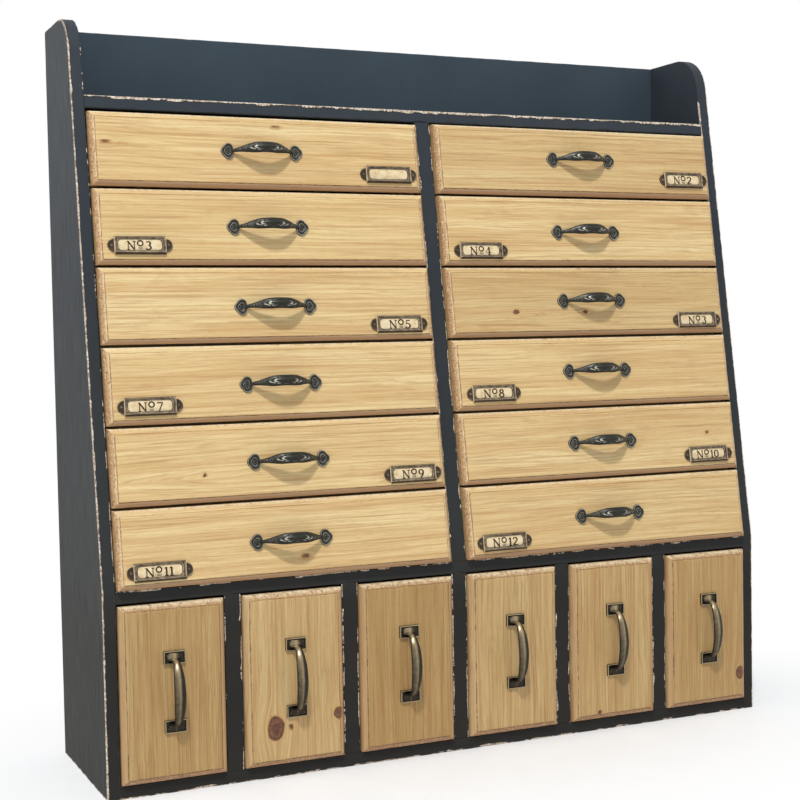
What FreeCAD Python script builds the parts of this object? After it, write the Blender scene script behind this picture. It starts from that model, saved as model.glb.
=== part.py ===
# Spice drawer cabinet: a painted case with a leaning upper front, twelve wide
# shallow drawers in two columns and six tall narrow drawers below them.
#
# Row frame, in millimetres: the origin is the centre of the case's underside,
# +X is to the right, +Y to the back, +Z up. The fronts face -Y.

import FreeCAD
import Part
import Sketcher
import os
import re

ROWS = 6            # rows of wide drawers, counted from 1 at the top
COLUMNS = 2         # a column each side of the centre divider
LOWER_COUNT = 6     # tall drawers in the bottom row

# ---------------------------------------------------------------- sizes

SIZES = [
    # the case
    ("case_width", 700, "outside width over both sides"),
    ("case_depth", 176, "depth at the base"),
    ("side_board", 12, "thickness of each side"),
    ("base_board", 12, "thickness of the bottom board"),
    ("rail_board", 12, "thickness of the shelf between lower and upper drawers"),
    ("shelf_board", 12, "thickness of the top shelf"),
    ("gallery_board", 12, "thickness of the board behind the top shelf"),
    ("gallery_height", 75, "height of the gallery over the top shelf"),
    ("gallery_round", 40, "radius of the sides' top front corners"),
    ("divider_board", 16, "thickness of the upper centre divider"),
    ("lower_divider_board", 16, "thickness of each lower divider"),
    ("back_board", 5, "thickness of the plywood back"),
    ("shelf_setback", 68.6, "how far the leaning front has gone back at the top shelf's upper face"),
    ("arris", 1.2, "radius of the worn front edges of the case"),
    ("dust_board", 3, "thickness of the plywood panels between the rows"),
    ("dust_groove", 4, "depth of the grooves that hold those panels"),
    ("dust_recess", 14, "distance of those panels behind the case front"),
    # the drawers
    ("front_gap", 1.25, "gap each side of a drawer front"),
    ("front_lift", 0.5, "gap under a drawer front"),
    ("front_headroom", 2, "gap over a drawer front"),
    ("front_thickness", 12, "thickness of a drawer front, measured level"),
    ("moulding_step", 1.4, "step from the moulded edge up to the front's field"),
    ("moulding_width", 5, "width of the moulded edge"),
    ("moulding_round", 4, "radius of the moulded edge"),
    ("upper_front_height", 69.5, "height of a wide drawer's front"),
    ("upper_proud", 8.7, "how far a wide drawer's front stands out of the case"),
    ("lower_front_height", 159.5, "height of a tall drawer's front"),
    ("lower_proud", 6.7, "how far a tall drawer's front stands out of the case"),
    ("box_board", 8, "thickness of the drawer boxes' sides and backs"),
    ("box_bottom", 3, "thickness of the drawer boxes' plywood bottoms"),
    ("bottom_lift", 4, "height of that plywood over the sides' lower edges"),
    ("box_gap", 1.5, "gap each side of a drawer box"),
    ("slide_gap", 0.3, "gap under a drawer box"),
    ("rear_gap", 0.4, "gap between a drawer box and the back"),
    ("upper_box_height", 52, "height of a wide drawer's box"),
    ("lower_box_height", 120, "height of a tall drawer's box"),
    # the bow pulls of the wide drawers
    ("bow_half_span", 28, "from the middle of a bow pull to where its bar meets a plate"),
    ("bow_rise", 15.5, "rise of the bar's middle line over the drawer front"),
    ("bow_foot_rise", 2.2, "rise of the bar's middle line at the plates"),
    ("bow_neck_half_height", 1.9, "half the bar's height at the plates"),
    ("bow_neck_half_depth", 1.4, "half the bar's depth at the plates"),
    ("bow_arm_half_height", 3.9, "half the bar's height over the middle"),
    ("bow_arm_half_depth", 2.6, "half the bar's depth over the middle"),
    ("bow_plate", 1.6, "thickness of the leaf plates"),
    ("leaf_reach", 33, "from the middle of the pull to the plates' pairs of side lobes"),
    ("leaf_side_lobe", 4.6, "radius of those lobes"),
    ("leaf_spread", 3.2, "height of each side lobe over the pull's middle line"),
    ("leaf_tip_reach", 36.2, "from the middle of the pull to the plates' end lobes"),
    ("leaf_tip_lobe", 4.4, "radius of the end lobes"),
    ("bow_screw_reach", 33.7, "from the middle of the pull to each screw"),
    # the strap pulls of the tall drawers
    ("strap_plate_width", 20.4, "width of a strap pull's end plates"),
    ("strap_plate_height", 12, "height of those plates"),
    ("strap_plate", 1.8, "thickness of those plates at the rim"),
    ("strap_rim", 1.3, "width of their raised rim"),
    ("strap_sink", 0.6, "depth of their field below the rim"),
    ("strap_length", 74, "height of a strap pull over both plates"),
    ("strap_half_span", 29, "from the middle of a strap pull to its feet"),
    ("strap_rise", 17.5, "rise of the strap's middle line over the drawer front"),
    ("strap_foot_rise", 1.6, "rise of the strap's middle line at its feet"),
    ("strap_end_half_width", 3.1, "half the strap's width at its feet"),
    ("strap_end_half_depth", 1.5, "half the strap's depth at its feet"),
    ("strap_mid_half_width", 5.2, "half the strap's width in the middle"),
    ("strap_mid_half_depth", 2.4, "half the strap's depth in the middle"),
    ("strap_pin_reach", 6.4, "from the middle of a plate to each pin"),
    ("strap_pin_shift", 1.8, "how far the pins sit beyond the plate's middle, away from the strap"),
    ("strap_lift", 0.7, "how far a strap pull sits over the middle of its front"),
    # the label holders
    ("label_width", 48, "width of a label holder's frame"),
    ("label_height", 16.5, "height of that frame"),
    ("label_frame", 1.8, "thickness of that frame"),
    ("window_width", 43, "width of the window for the card"),
    ("window_height", 9.4, "height of that window"),
    ("window_raise", 1, "height of the window's middle over the frame's"),
    ("window_round", 2, "radius of the window's corners"),
    ("lip_height", 2.4, "height of the thicker lip under the window"),
    ("lip_depth", 2.8, "thickness of that lip"),
    ("ear_reach", 23.4, "from the middle of the holder to the middle of each ear"),
    ("ear_radius", 6.6, "radius of the ears"),
    ("ear_plate", 1, "thickness of the ears"),
    ("label_pin_reach", 26.2, "from the middle of the holder to each pin"),
    ("label_from_left", 39.2, "middle of a left-hand label from its drawer's left edge"),
    ("label_from_right", 36.1, "middle of a right-hand label from its drawer's right edge"),
    ("label_rise", 16, "middle of a label over its drawer front's lower edge"),
    ("hand_step", 0.5, "one step of the metalwork's small offsets, see HAND_SET"),
    # the fastenings
    ("screw_head", 2.5, "radius of the pull screws' heads"),
    ("screw_dome", 1.3, "height of those heads"),
    ("screw_shank", 1.3, "radius of the pull screws' shanks"),
    ("screw_depth", 8.5, "length of those shanks in the wood"),
    ("pin_head", 1.5, "radius of the pins' heads"),
    ("pin_dome", 0.8, "height of those heads"),
    ("pin_shank", 0.7, "radius of the pins' shanks"),
    ("pin_depth", 6, "length of those shanks in the wood"),
    ("panel_pin_length", 18, "length of the pins that hold the back"),
    ("panel_pin_head", 1.6, "radius of their flat heads"),
    ("panel_pin_sink", 0.8, "thickness of those heads, which are sunk flush"),
    ("panel_pin_shank", 0.7, "radius of their shanks"),
    ("hole_ease", 0.05, "how much wider in radius a hole is than its screw or pin"),
]

doc = FreeCAD.newDocument("SpiceDrawerCabinet")
sheet = doc.addObject("Spreadsheet::Sheet", "Sizes")
for row, (alias, size, meaning) in enumerate(SIZES, 1):
    sheet.set(f"A{row}", meaning)
    sheet.set(f"B{row}", str(size))
    sheet.setAlias(f"B{row}", alias)
doc.recompute()
ALIASES = {alias for alias, _, _ in SIZES}


def cells(formula):
    """The formula as an expression: each size's name becomes its cell in the sheet."""
    return re.sub(r"[a-z][a-z_]+", lambda m: "Sizes." + m[0] if m[0] in ALIASES else m[0], formula)


def value(formula):
    """The formula's value now, in millimetres."""
    return float(sheet.evalExpression(cells(formula)))


def bind(thing, place, formula):
    """Ties a property of a thing to the sheet."""
    thing.setExpression(place, cells(formula))


# ---------------------------------------------------------------- sizes worked out from the sheet

INNER_WIDTH = "(case_width - 2 * side_board)"
INNER_LEFT = f"(-{INNER_WIDTH} / 2)"
FRONT = "(-case_depth / 2)"
INNER_DEPTH = "(case_depth - back_board)"
LOWER_TOP = "(base_board + front_lift + lower_front_height + front_headroom)"
BEND = f"({LOWER_TOP} + rail_board)"
ROW_PITCH = "(front_lift + upper_front_height + front_headroom)"
ROWS_HEIGHT = f"({ROWS} * {ROW_PITCH})"
SHELF_UNDER = f"({BEND} + {ROWS_HEIGHT})"
SHELF_TOP = f"({SHELF_UNDER} + shelf_board)"
CASE_TOP = f"({SHELF_TOP} + gallery_height)"
SLOPE = f"(shelf_setback / ({ROWS_HEIGHT} + shelf_board))"
UPPER_OPENING = f"(({INNER_WIDTH} - divider_board) / {COLUMNS})"
LOWER_OPENING_WIDTH = f"(({INNER_WIDTH} - {LOWER_COUNT - 1} * lower_divider_board) / {LOWER_COUNT})"
NO_SLOPE = "0"
TOUCH = 0.001       # how near two computed places are when they are the same place


def setback(height):
    """How far the leaning front has gone back at a height over the bend."""
    return f"({SLOPE} * ({height}))"


def floor_of(row):
    """The height of a row's floor over the bend; row 1 is the top row."""
    return f"({ROWS - row} * {ROW_PITCH})"


# ---------------------------------------------------------------- making pieces


def new_body(name):
    """An empty body."""
    return doc.addObject("PartDesign::Body", name)


def sketch_on(body, name, role, offset="0"):
    """A sketch on one of the body's own origin planes, moved along its normal by offset."""
    sketch = body.newObject("Sketcher::SketchObject", name)
    plane = [feature for feature in body.Origin.OriginFeatures if feature.Role == role][0]
    sketch.AttachmentSupport = [(plane, "")]
    sketch.MapMode = "FlatFace"
    bind(sketch, "AttachmentOffset.Base.z", offset)
    return sketch


def tie_point(sketch, line, end, across, up):
    """Fixes a point of the sketch's geometry at two formulas from the sketch's origin."""
    for kind, formula in (("DistanceX", across), ("DistanceY", up)):
        index = sketch.addConstraint(Sketcher.Constraint(kind, -1, 1, line, end, value(formula)))
        bind(sketch, f"Constraints[{index}]", formula)


def add_loop(sketch, corners):
    """A closed loop of straight lines through corners, each a pair of formulas."""
    points = [FreeCAD.Vector(value(across), value(up), 0) for across, up in corners]
    first = sketch.GeometryCount
    count = len(points)
    for index in range(count):
        sketch.addGeometry(Part.LineSegment(points[index], points[(index + 1) % count]), False)
    for index in range(count):
        following = first + (index + 1) % count
        sketch.addConstraint(Sketcher.Constraint("Coincident", first + index, 2, following, 1))
    for index, (across, up) in enumerate(corners):
        tie_point(sketch, first + index, 1, across, up)


def add_circle(sketch, across, up, radius):
    """A circle with its centre at two formulas."""
    centre = FreeCAD.Vector(value(across), value(up), 0)
    circle = sketch.addGeometry(Part.Circle(centre, FreeCAD.Vector(0, 0, 1), value(radius)), False)
    tie_point(sketch, circle, 3, across, up)
    index = sketch.addConstraint(Sketcher.Constraint("Radius", circle, value(radius)))
    bind(sketch, f"Constraints[{index}]", radius)


def add_ellipse(sketch, across, up, half_across, half_up):
    """An ellipse that is longer along the sketch's second axis if half_up is the larger."""
    centre = FreeCAD.Vector(value(across), value(up), 0)
    tall = value(half_up) > value(half_across)
    along = FreeCAD.Vector(0, value(half_up), 0)
    beside = FreeCAD.Vector(-value(half_across), 0, 0)
    if not tall:
        along = FreeCAD.Vector(value(half_across), 0, 0)
        beside = FreeCAD.Vector(0, value(half_up), 0)
    curve = sketch.addGeometry(Part.Ellipse(centre + along, centre + beside, centre), False)
    sketch.exposeInternalGeometry(curve)
    sketch.addConstraint(Sketcher.Constraint("Vertical" if tall else "Horizontal", curve + 1))
    longer, shorter = (half_up, half_across) if tall else (half_across, half_up)
    for axis, half in ((curve + 1, longer), (curve + 2, shorter)):
        index = sketch.addConstraint(Sketcher.Constraint("Distance", axis, 2 * value(half)))
        bind(sketch, f"Constraints[{index}]", f"2 * {half}")
    tie_point(sketch, curve, 3, across, up)


def pad(body, sketch, name, length):
    """Pads a sketch along its normal."""
    feature = body.newObject("PartDesign::Pad", name)
    feature.Profile = sketch
    bind(feature, "Length", length)
    return feature


def pocket(body, sketch, name, length, along_normal=False):
    """Cuts a sketch's loops into the body: against the sketch's normal, or along it."""
    feature = body.newObject("PartDesign::Pocket", name)
    feature.Profile = sketch
    feature.Reversed = along_normal
    bind(feature, "Length", length)
    return feature


def loft(body, sketches, name):
    """Adds a smooth bar through a row of closed sketches."""
    feature = body.newObject("PartDesign::AdditiveLoft", name)
    feature.Profile = sketches[0]
    feature.Sections = sketches[1:]
    return feature


def round_edges(body, base, name, radius, chosen):
    """Rounds the edges of base that chosen(edge) picks."""
    doc.recompute()
    picked = [f"Edge{number}" for number, edge in enumerate(base.Shape.Edges, 1) if chosen(edge)]
    feature = body.newObject("PartDesign::Fillet", name)
    feature.Base = (base, picked)
    bind(feature, "Radius", radius)
    return feature


def ends_at(edge, test):
    """Whether both ends of an edge satisfy test(point)."""
    return all(test(vertex.Point) for vertex in edge.Vertexes)


def near(point, y, z):
    """Whether a point has these y and z."""
    return abs(point.y - y) < TOUCH and abs(point.z - z) < TOUCH


def is_across(edge):
    """Whether an edge runs from side to side."""
    return abs(edge.Vertexes[0].Point.x - edge.Vertexes[-1].Point.x) > TOUCH


def put(thing, left, back, up, lean=NO_SLOPE):
    """Places a thing by three formulas, leaning back by a slope."""
    thing.Placement = FreeCAD.Placement(FreeCAD.Vector(), FreeCAD.Rotation(FreeCAD.Vector(1, 0, 0), 10))
    bind(thing, "Placement.Rotation.Angle", f"-atan({lean})")
    bind(thing, "Placement.Base.x", left)
    bind(thing, "Placement.Base.y", back)
    bind(thing, "Placement.Base.z", up)


sub_parts = []


def finish(thing, label):
    """Names a finished sub-part and lists it for export."""
    thing.Label = label
    sub_parts.append(thing)


def group(label, pieces):
    """One sub-part of several separate solids."""
    compound = doc.addObject("Part::Compound", "Group_" + label)
    compound.Links = pieces
    finish(compound, label)
    return compound


def pierced(radius):
    """The radius of a hole for a shank."""
    return f"({radius} + hole_ease)"


# ---------------------------------------------------------------- the case
# Every board of the case is a profile in its own YZ plane, with y counted from
# the case's front and z from its underside, padded along x.


def board(name, corners, left, thickness):
    """A board from a profile of (y, z) corners, its left face at x = left."""
    body = new_body(name)
    sketch = sketch_on(body, name + "_profile", "YZ_Plane")
    add_loop(sketch, corners)
    pad(body, sketch, name + "_pad", thickness)
    put(body, left, FRONT, "0")
    return body


def box_profile(front, under, back, over):
    """The corners of an upright rectangle from front to back and from under to over."""
    return [(front, under), (back, under), (back, over), (front, over)]


def drill_from_behind(body, name, face, places, radius, depth):
    """Round holes that go forward from the plane y = face, at (across, up) places."""
    sketch = sketch_on(body, name + "_sketch", "XZ_Plane", f"-{face}")
    for across, up in places:
        add_circle(sketch, across, up, pierced(radius))
    pocket(body, sketch, name, depth, along_normal=True)


def dust_floors():
    """The floors, over the bend, of every row that rests on a plywood panel."""
    return [floor_of(row) for row in range(1, ROWS)]


def dust_profile(floor):
    """The profile of the plywood panel under a row, and of the groove that holds it."""
    under = f"{BEND} + {floor} - dust_board"
    return box_profile(f"{setback(floor)} + dust_recess", under, INNER_DEPTH, f"{BEND} + {floor}")


def cut_grooves(body, name, face, along_normal):
    """Grooves for the plywood panels, in the face at x = face."""
    sketch = sketch_on(body, name + "_sketch", "YZ_Plane", face)
    for floor in dust_floors():
        add_loop(sketch, dust_profile(floor))
    before = body.Tip
    doc.recompute()
    full = before.Shape.Volume
    grooves = pocket(body, sketch, name, "dust_groove", along_normal)
    doc.recompute()
    if not grooves.Shape.Volume < full:
        raise RuntimeError(name + " cut nothing")


def on_case_front(point):
    """Whether a point of a side lies on its front edge or round its top corner."""
    leaning_y = value(SLOPE) * max(0.0, point.z - value(BEND))
    on_line = abs(point.y - leaning_y) < TOUCH
    round_size = value("gallery_round")
    corner = value(setback(f"{CASE_TOP} - {BEND}"))
    on_round = point.z > value(CASE_TOP) - round_size and point.y < corner + round_size
    return on_line or on_round


def side(label, left, inner_face, groove_along_normal):
    """A side: upright to the bend, then leaning back, with a rounded top front corner."""
    corner = (setback(f"{CASE_TOP} - {BEND}"), CASE_TOP)
    corners = [("0", "0"), ("case_depth", "0"), ("case_depth", CASE_TOP), corner, ("0", BEND)]
    body = board(label, corners, left, "side_board")

    def at_corner(edge):
        return ends_at(edge, lambda point: near(point, value(corner[0]), value(corner[1])))

    rounded = round_edges(body, body.Tip, label + "_corner", "gallery_round", at_corner)

    def along_front(edge):
        middle = edge.valueAt((edge.FirstParameter + edge.LastParameter) / 2)
        return not is_across(edge) and on_case_front(middle)

    round_edges(body, rounded, label + "_arris", "arris", along_front)
    cut_grooves(body, label + "_grooves", inner_face, groove_along_normal)
    finish(body, label)


side("left_side", "-case_width / 2", "side_board", False)
side("right_side", "case_width / 2 - side_board", "0", True)


def worn_board(label, corners, left, thickness, front_corners):
    """A board of the case whose edges at the named front corners are rounded by wear."""
    body = board(label, corners, left, thickness)
    places = [(value(y), value(z)) for y, z in front_corners]

    def at_front(edge):
        return any(ends_at(edge, lambda point: near(point, y, z)) for y, z in places)

    round_edges(body, body.Tip, label + "_arris", "arris", at_front)
    return body


PIN_SHARES = [-0.94, -0.47, 0, 0.47, 0.94]      # across each shelf, from its middle to its ends
PIN_RISES = [0.25, 0.5, 0.75]                   # up the centre divider
PIN_ACROSS = [f"({INNER_WIDTH} / 2 * {1 + share})" for share in PIN_SHARES]
PIN_GRIP = "(panel_pin_length - back_board)"
BASE_PINS = [(across, "base_board / 2") for across in PIN_ACROSS]
RAIL_PINS = [(across, f"({LOWER_TOP} + rail_board / 2)") for across in PIN_ACROSS]
DIVIDER_PINS = [("divider_board / 2", f"({BEND} + {rise} * {ROWS_HEIGHT})") for rise in PIN_RISES]


def pinned_board(label, corners, pins):
    """A worn board from side to side, drilled at its back edge for the pins of the back panel."""
    body = worn_board(label, corners, INNER_LEFT, INNER_WIDTH, [corners[0], corners[-1]])
    drill_from_behind(body, label + "_pin_holes", INNER_DEPTH, pins, "panel_pin_shank", PIN_GRIP)
    finish(body, label)


def level_board(label, corners, worn_corners):
    """A board that reaches from side to side, its edges rounded by wear at the named corners."""
    finish(worn_board(label, corners, INNER_LEFT, INNER_WIDTH, worn_corners), label)


pinned_board("bottom_board", box_profile("0", "0", INNER_DEPTH, "base_board"), BASE_PINS)
pinned_board("middle_shelf", box_profile("0", LOWER_TOP, INNER_DEPTH, BEND), RAIL_PINS)

# The top shelf ends against the gallery board, which comes down behind it to the back panel.
GALLERY_FACE = "(case_depth - gallery_board)"
SHELF_LOWER_EDGE = (setback(ROWS_HEIGHT), SHELF_UNDER)
SHELF_UPPER_EDGE = (setback(f"{ROWS_HEIGHT} + shelf_board"), SHELF_TOP)
level_board(
    "top_shelf",
    [SHELF_LOWER_EDGE, (GALLERY_FACE, SHELF_UNDER), (GALLERY_FACE, SHELF_TOP), SHELF_UPPER_EDGE],
    [SHELF_LOWER_EDGE, SHELF_UPPER_EDGE],
)
level_board(
    "gallery_board",
    box_profile(GALLERY_FACE, SHELF_UNDER, "case_depth", CASE_TOP),
    [(GALLERY_FACE, CASE_TOP)],
)


def worn_divider(name, corners, left, thickness):
    """A divider whose two long front edges, between its first and last corners, are rounded by wear."""
    body = board(name, corners, left, thickness)
    low, high = [(value(y), value(z)) for y, z in (corners[0], corners[-1])]

    def on_front(point):
        share = (point.z - low[1]) / (high[1] - low[1])
        return abs(point.y - low[0] - share * (high[0] - low[0])) < TOUCH

    def along_front(edge):
        return not is_across(edge) and ends_at(edge, on_front)

    round_edges(body, body.Tip, name + "_arris", "arris", along_front)
    return body


divider = worn_divider(
    "centre_divider",
    [("0", BEND), (INNER_DEPTH, BEND), (INNER_DEPTH, SHELF_UNDER), (setback(ROWS_HEIGHT), SHELF_UNDER)],
    "-divider_board / 2",
    "divider_board",
)
cut_grooves(divider, "divider_left_grooves", "0", True)
cut_grooves(divider, "divider_right_grooves", "divider_board", False)
drill_from_behind(divider, "divider_pin_holes", INNER_DEPTH, DIVIDER_PINS, "panel_pin_shank", PIN_GRIP)
finish(divider, "centre_divider")


def lower_left(number):
    """The left side of a lower opening, counted from 1 at the left."""
    return f"({INNER_LEFT} + {number - 1} * ({LOWER_OPENING_WIDTH} + lower_divider_board))"


def upper_left(column):
    """The left side of a column's openings, counted from 1 at the left."""
    return f"({INNER_LEFT} + {column - 1} * ({UPPER_OPENING} + divider_board))"


back = board("back_panel", box_profile(INNER_DEPTH, "0", "case_depth", SHELF_UNDER), INNER_LEFT, INNER_WIDTH)
BACK_PINS = BASE_PINS + RAIL_PINS + [(f"{INNER_WIDTH} / 2", up) for _, up in DIVIDER_PINS]
drill_from_behind(back, "back_pin_heads", "case_depth", BACK_PINS, "panel_pin_head", "panel_pin_sink")
drill_from_behind(back, "back_pin_shanks", "case_depth", BACK_PINS, "panel_pin_shank", "back_board")
finish(back, "back_panel")


def panel_pin(name, across, up):
    """A flat-headed pin driven in from behind, its head flush with the back."""
    body = new_body(name)
    sketch = sketch_on(body, name + "_profile", "XY_Plane")
    add_loop(sketch, [
        ("0", "-panel_pin_length"),
        ("panel_pin_shank", "-panel_pin_length"),
        ("panel_pin_shank", "-panel_pin_sink"),
        ("panel_pin_head", "-panel_pin_sink"),
        ("panel_pin_head", "0"),
        ("0", "0"),
    ])
    turned = body.newObject("PartDesign::Revolution", name + "_turned")
    turned.Profile = sketch
    turned.ReferenceAxis = (sketch, ["V_Axis"])
    turned.Angle = 360
    put(body, f"{INNER_LEFT} + {across}", "case_depth / 2", up)
    return body


group("back_pins", [panel_pin(f"back_pin_{number}", *place) for number, place in enumerate(BACK_PINS, 1)])

group("lower_dividers", [
    worn_divider(
        f"lower_divider_{number}",
        box_profile("0", "base_board", INNER_DEPTH, LOWER_TOP),
        f"{lower_left(number)} + {LOWER_OPENING_WIDTH}",
        "lower_divider_board",
    )
    for number in range(1, LOWER_COUNT)
])

group("dust_panels", [
    board(
        f"dust_panel_{column}_{row}",
        dust_profile(floor_of(row)),
        f"{upper_left(column)} - dust_groove",
        f"{UPPER_OPENING} + 2 * dust_groove",
    )
    for column in range(1, COLUMNS + 1)
    for row in range(1, ROWS)
])

# ---------------------------------------------------------------- drawers
# A drawer is modelled from its opening: x from the opening's left side, y from
# the case front at the opening's floor, z from that floor. The front's faces
# lean by the slope; its upper and lower edges are level.


def leaning(y, slope, z):
    """The y of a leaning plane at height z, which passes through y at the floor."""
    return f"({y} + {slope} * ({z}))"


def slab(front, slope, under, back, over):
    """The profile between two planes that lean alike, from under to over."""
    return [
        (leaning(front, slope, under), under),
        (leaning(back, slope, under), under),
        (leaning(back, slope, over), over),
        (leaning(front, slope, over), over),
    ]


def pilot_hole(name, across, up, face, slope, radius, depth):
    """A cylinder that goes square into a front from the point (across, up) on its face."""
    cylinder = doc.addObject("Part::Cylinder", name)
    bind(cylinder, "Radius", radius)
    bind(cylinder, "Height", depth)
    cylinder.Placement = FreeCAD.Placement(FreeCAD.Vector(), FreeCAD.Rotation(FreeCAD.Vector(1, 0, 0), 10))
    bind(cylinder, "Placement.Rotation.Angle", f"-90 deg - atan({slope})")
    bind(cylinder, "Placement.Base.x", across)
    bind(cylinder, "Placement.Base.y", leaning(face, slope, up))
    bind(cylinder, "Placement.Base.z", up)
    return cylinder


def front_blank(name, opening, slope, height, proud):
    """A front board with a moulded edge round a raised field."""
    body = new_body(name)
    over = f"(front_lift + {height})"
    face = f"(-{proud})"
    edge_face = f"({face} + moulding_step)"
    rear = f"({face} + front_thickness)"
    edge_sketch = sketch_on(body, name + "_edge_profile", "YZ_Plane", "front_gap")
    add_loop(edge_sketch, slab(edge_face, slope, "front_lift", rear, over))
    edge = pad(body, edge_sketch, name + "_edge", f"{opening} - 2 * front_gap")

    lean, start = value(slope), value(edge_face)

    def on_edge_face(edge):
        return ends_at(edge, lambda point: abs(point.y - start - lean * point.z) < TOUCH)

    round_edges(body, edge, name + "_moulding", "moulding_round", on_edge_face)
    field_sketch = sketch_on(body, name + "_field_profile", "YZ_Plane", "front_gap + moulding_width")
    low = "(front_lift + moulding_width)"
    high = f"({over} - moulding_width)"
    add_loop(field_sketch, slab(face, slope, low, rear, high))
    pad(body, field_sketch, name + "_field", f"{opening} - 2 * front_gap - 2 * moulding_width")
    return body


def drilled_front(name, blank, slope, proud, holes):
    """A front with its pilot holes, each given as (across, up, radius, depth)."""
    drill = doc.addObject("Part::Compound", name + "_drill")
    drill.Links = [
        pilot_hole(f"{name}_hole_{number}", across, up, f"(-{proud})", slope, radius, depth)
        for number, (across, up, radius, depth) in enumerate(holes, 1)
    ]
    drilled = doc.addObject("Part::Cut", name)
    drilled.Base = blank
    drilled.Tool = drill
    return drilled


def plain_board(name, corners, left, thickness):
    """A board of a drawer box, from a profile of (y, z) corners."""
    body = new_body(name)
    sketch = sketch_on(body, name + "_profile", "YZ_Plane", left)
    add_loop(sketch, corners)
    pad(body, sketch, name + "_pad", thickness)
    return body


def drawer_box(name, opening, slope, proud, height, rear):
    """Two sides, a back and a plywood bottom behind a front; rear is the box's far end."""
    over = f"(slide_gap + {height})"
    front = f"(front_thickness - {proud})"
    inside_left = "(box_gap + box_board)"
    inside_width = f"({opening} - 2 * {inside_left})"
    side_profile = [
        (leaning(front, slope, "slide_gap"), "slide_gap"),
        (rear, "slide_gap"),
        (rear, over),
        (leaning(front, slope, over), over),
    ]
    low = "(slide_gap + bottom_lift)"
    high = f"({low} + box_bottom)"
    back_face = f"({rear} - box_board)"
    back_profile = box_profile(back_face, "slide_gap", rear, over)
    bottom_profile = [
        (leaning(front, slope, low), low),
        (back_face, low),
        (back_face, high),
        (leaning(front, slope, high), high),
    ]
    return [
        plain_board(name + "_left", side_profile, "box_gap", "box_board"),
        plain_board(name + "_right", side_profile, f"{opening} - {inside_left}", "box_board"),
        plain_board(name + "_back", back_profile, inside_left, inside_width),
        plain_board(name + "_bottom", bottom_profile, inside_left, inside_width),
    ]


# ---------------------------------------------------------------- fastenings
# The metalwork is modelled from a point on a drawer front's face: x to the
# right, -y straight out of the face, z up along it.


def fastening(name, across, up, seat, head, dome, shank, depth):
    """A round-headed screw or pin whose head sits at y = -seat and whose shank goes in to depth."""
    body = new_body(name)
    sketch = sketch_on(body, name + "_profile", "XY_Plane")
    add_loop(sketch, [
        ("0", depth),
        (shank, depth),
        (shank, f"-{seat}"),
        (head, f"-{seat}"),
        (head, f"-({seat} + 0.4 * {dome})"),
        (f"0.6 * {head}", f"-({seat} + {dome})"),
        ("0", f"-({seat} + {dome})"),
    ])
    turned = body.newObject("PartDesign::Revolution", name + "_turned")
    turned.Profile = sketch
    turned.ReferenceAxis = (sketch, ["V_Axis"])
    turned.Angle = 360
    put(body, across, "0", up)
    return body


# ---------------------------------------------------------------- bow pulls
BOW_STATIONS = [-1, -0.82, -0.6, -0.3, 0, 0.3, 0.6, 0.82, 1]


def bow_bar(body):
    """The bowed bar: it rises as a parabola and thickens from its necks to its middle."""
    sections = []
    for number, share in enumerate(BOW_STATIONS):
        fullness = 1 - share ** 2
        sketch = sketch_on(body, f"bow_section_{number}", "YZ_Plane", f"{share} * bow_half_span")
        rise = f"-(bow_foot_rise + {fullness} * (bow_rise - bow_foot_rise))"
        depth = f"(bow_neck_half_depth + {fullness} * (bow_arm_half_depth - bow_neck_half_depth))"
        height = f"(bow_neck_half_height + {fullness} * (bow_arm_half_height - bow_neck_half_height))"
        add_ellipse(sketch, rise, "0", depth, height)
        sections.append(sketch)
    loft(body, sections, "bow_bar")


def bow_pull():
    """A bow pull with a leaf plate of three lobes at each end."""
    body = new_body("bow_pull")
    bow_bar(body)
    for side_name, way in (("left", -1), ("right", 1)):
        lobes = [
            ("upper", f"{way} * leaf_reach", "leaf_spread", "leaf_side_lobe"),
            ("lower", f"{way} * leaf_reach", "-leaf_spread", "leaf_side_lobe"),
            ("tip", f"{way} * leaf_tip_reach", "0", "leaf_tip_lobe"),
        ]
        for lobe, across, up, radius in lobes:
            name = f"leaf_{side_name}_{lobe}"
            sketch = sketch_on(body, name + "_sketch", "XZ_Plane")
            add_circle(sketch, across, up, radius)
            pad(body, sketch, name, "bow_plate")
        root = f"leaf_{side_name}_root"
        sketch = sketch_on(body, root + "_sketch", "XZ_Plane")
        inner, outer = f"{way} * (bow_half_span - 1.5)", f"{way} * leaf_reach"
        add_loop(sketch, [
            (inner, "-bow_neck_half_height"),
            (outer, "-bow_neck_half_height"),
            (outer, "bow_neck_half_height"),
            (inner, "bow_neck_half_height"),
        ])
        pad(body, sketch, root, "bow_foot_rise")
    holes = sketch_on(body, "bow_holes_sketch", "XZ_Plane")
    for way in (-1, 1):
        add_circle(holes, f"{way} * bow_screw_reach", "0", pierced("screw_shank"))
    pocket(body, holes, "bow_holes", "2 * bow_foot_rise", along_normal=True)
    screws = [
        fastening(f"bow_screw_{number}", f"{way} * bow_screw_reach", "0", "bow_foot_rise",
                  "screw_head", "screw_dome", "screw_shank", "screw_depth")
        for number, way in ((1, -1), (2, 1))
    ]
    return [body] + screws


# ---------------------------------------------------------------- strap pulls
STRAP_STATIONS = [-1, -0.93, -0.78, -0.5, 0, 0.5, 0.78, 0.93, 1]
STRAP_PIN_PLACES = [(-1, -1), (1, -1), (-1, 1), (1, 1)]
STRAP_PLATE_MIDDLE = "((strap_length - strap_plate_height) / 2)"
STRAP_PIN_HEIGHT = f"({STRAP_PLATE_MIDDLE} + strap_pin_shift)"


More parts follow.
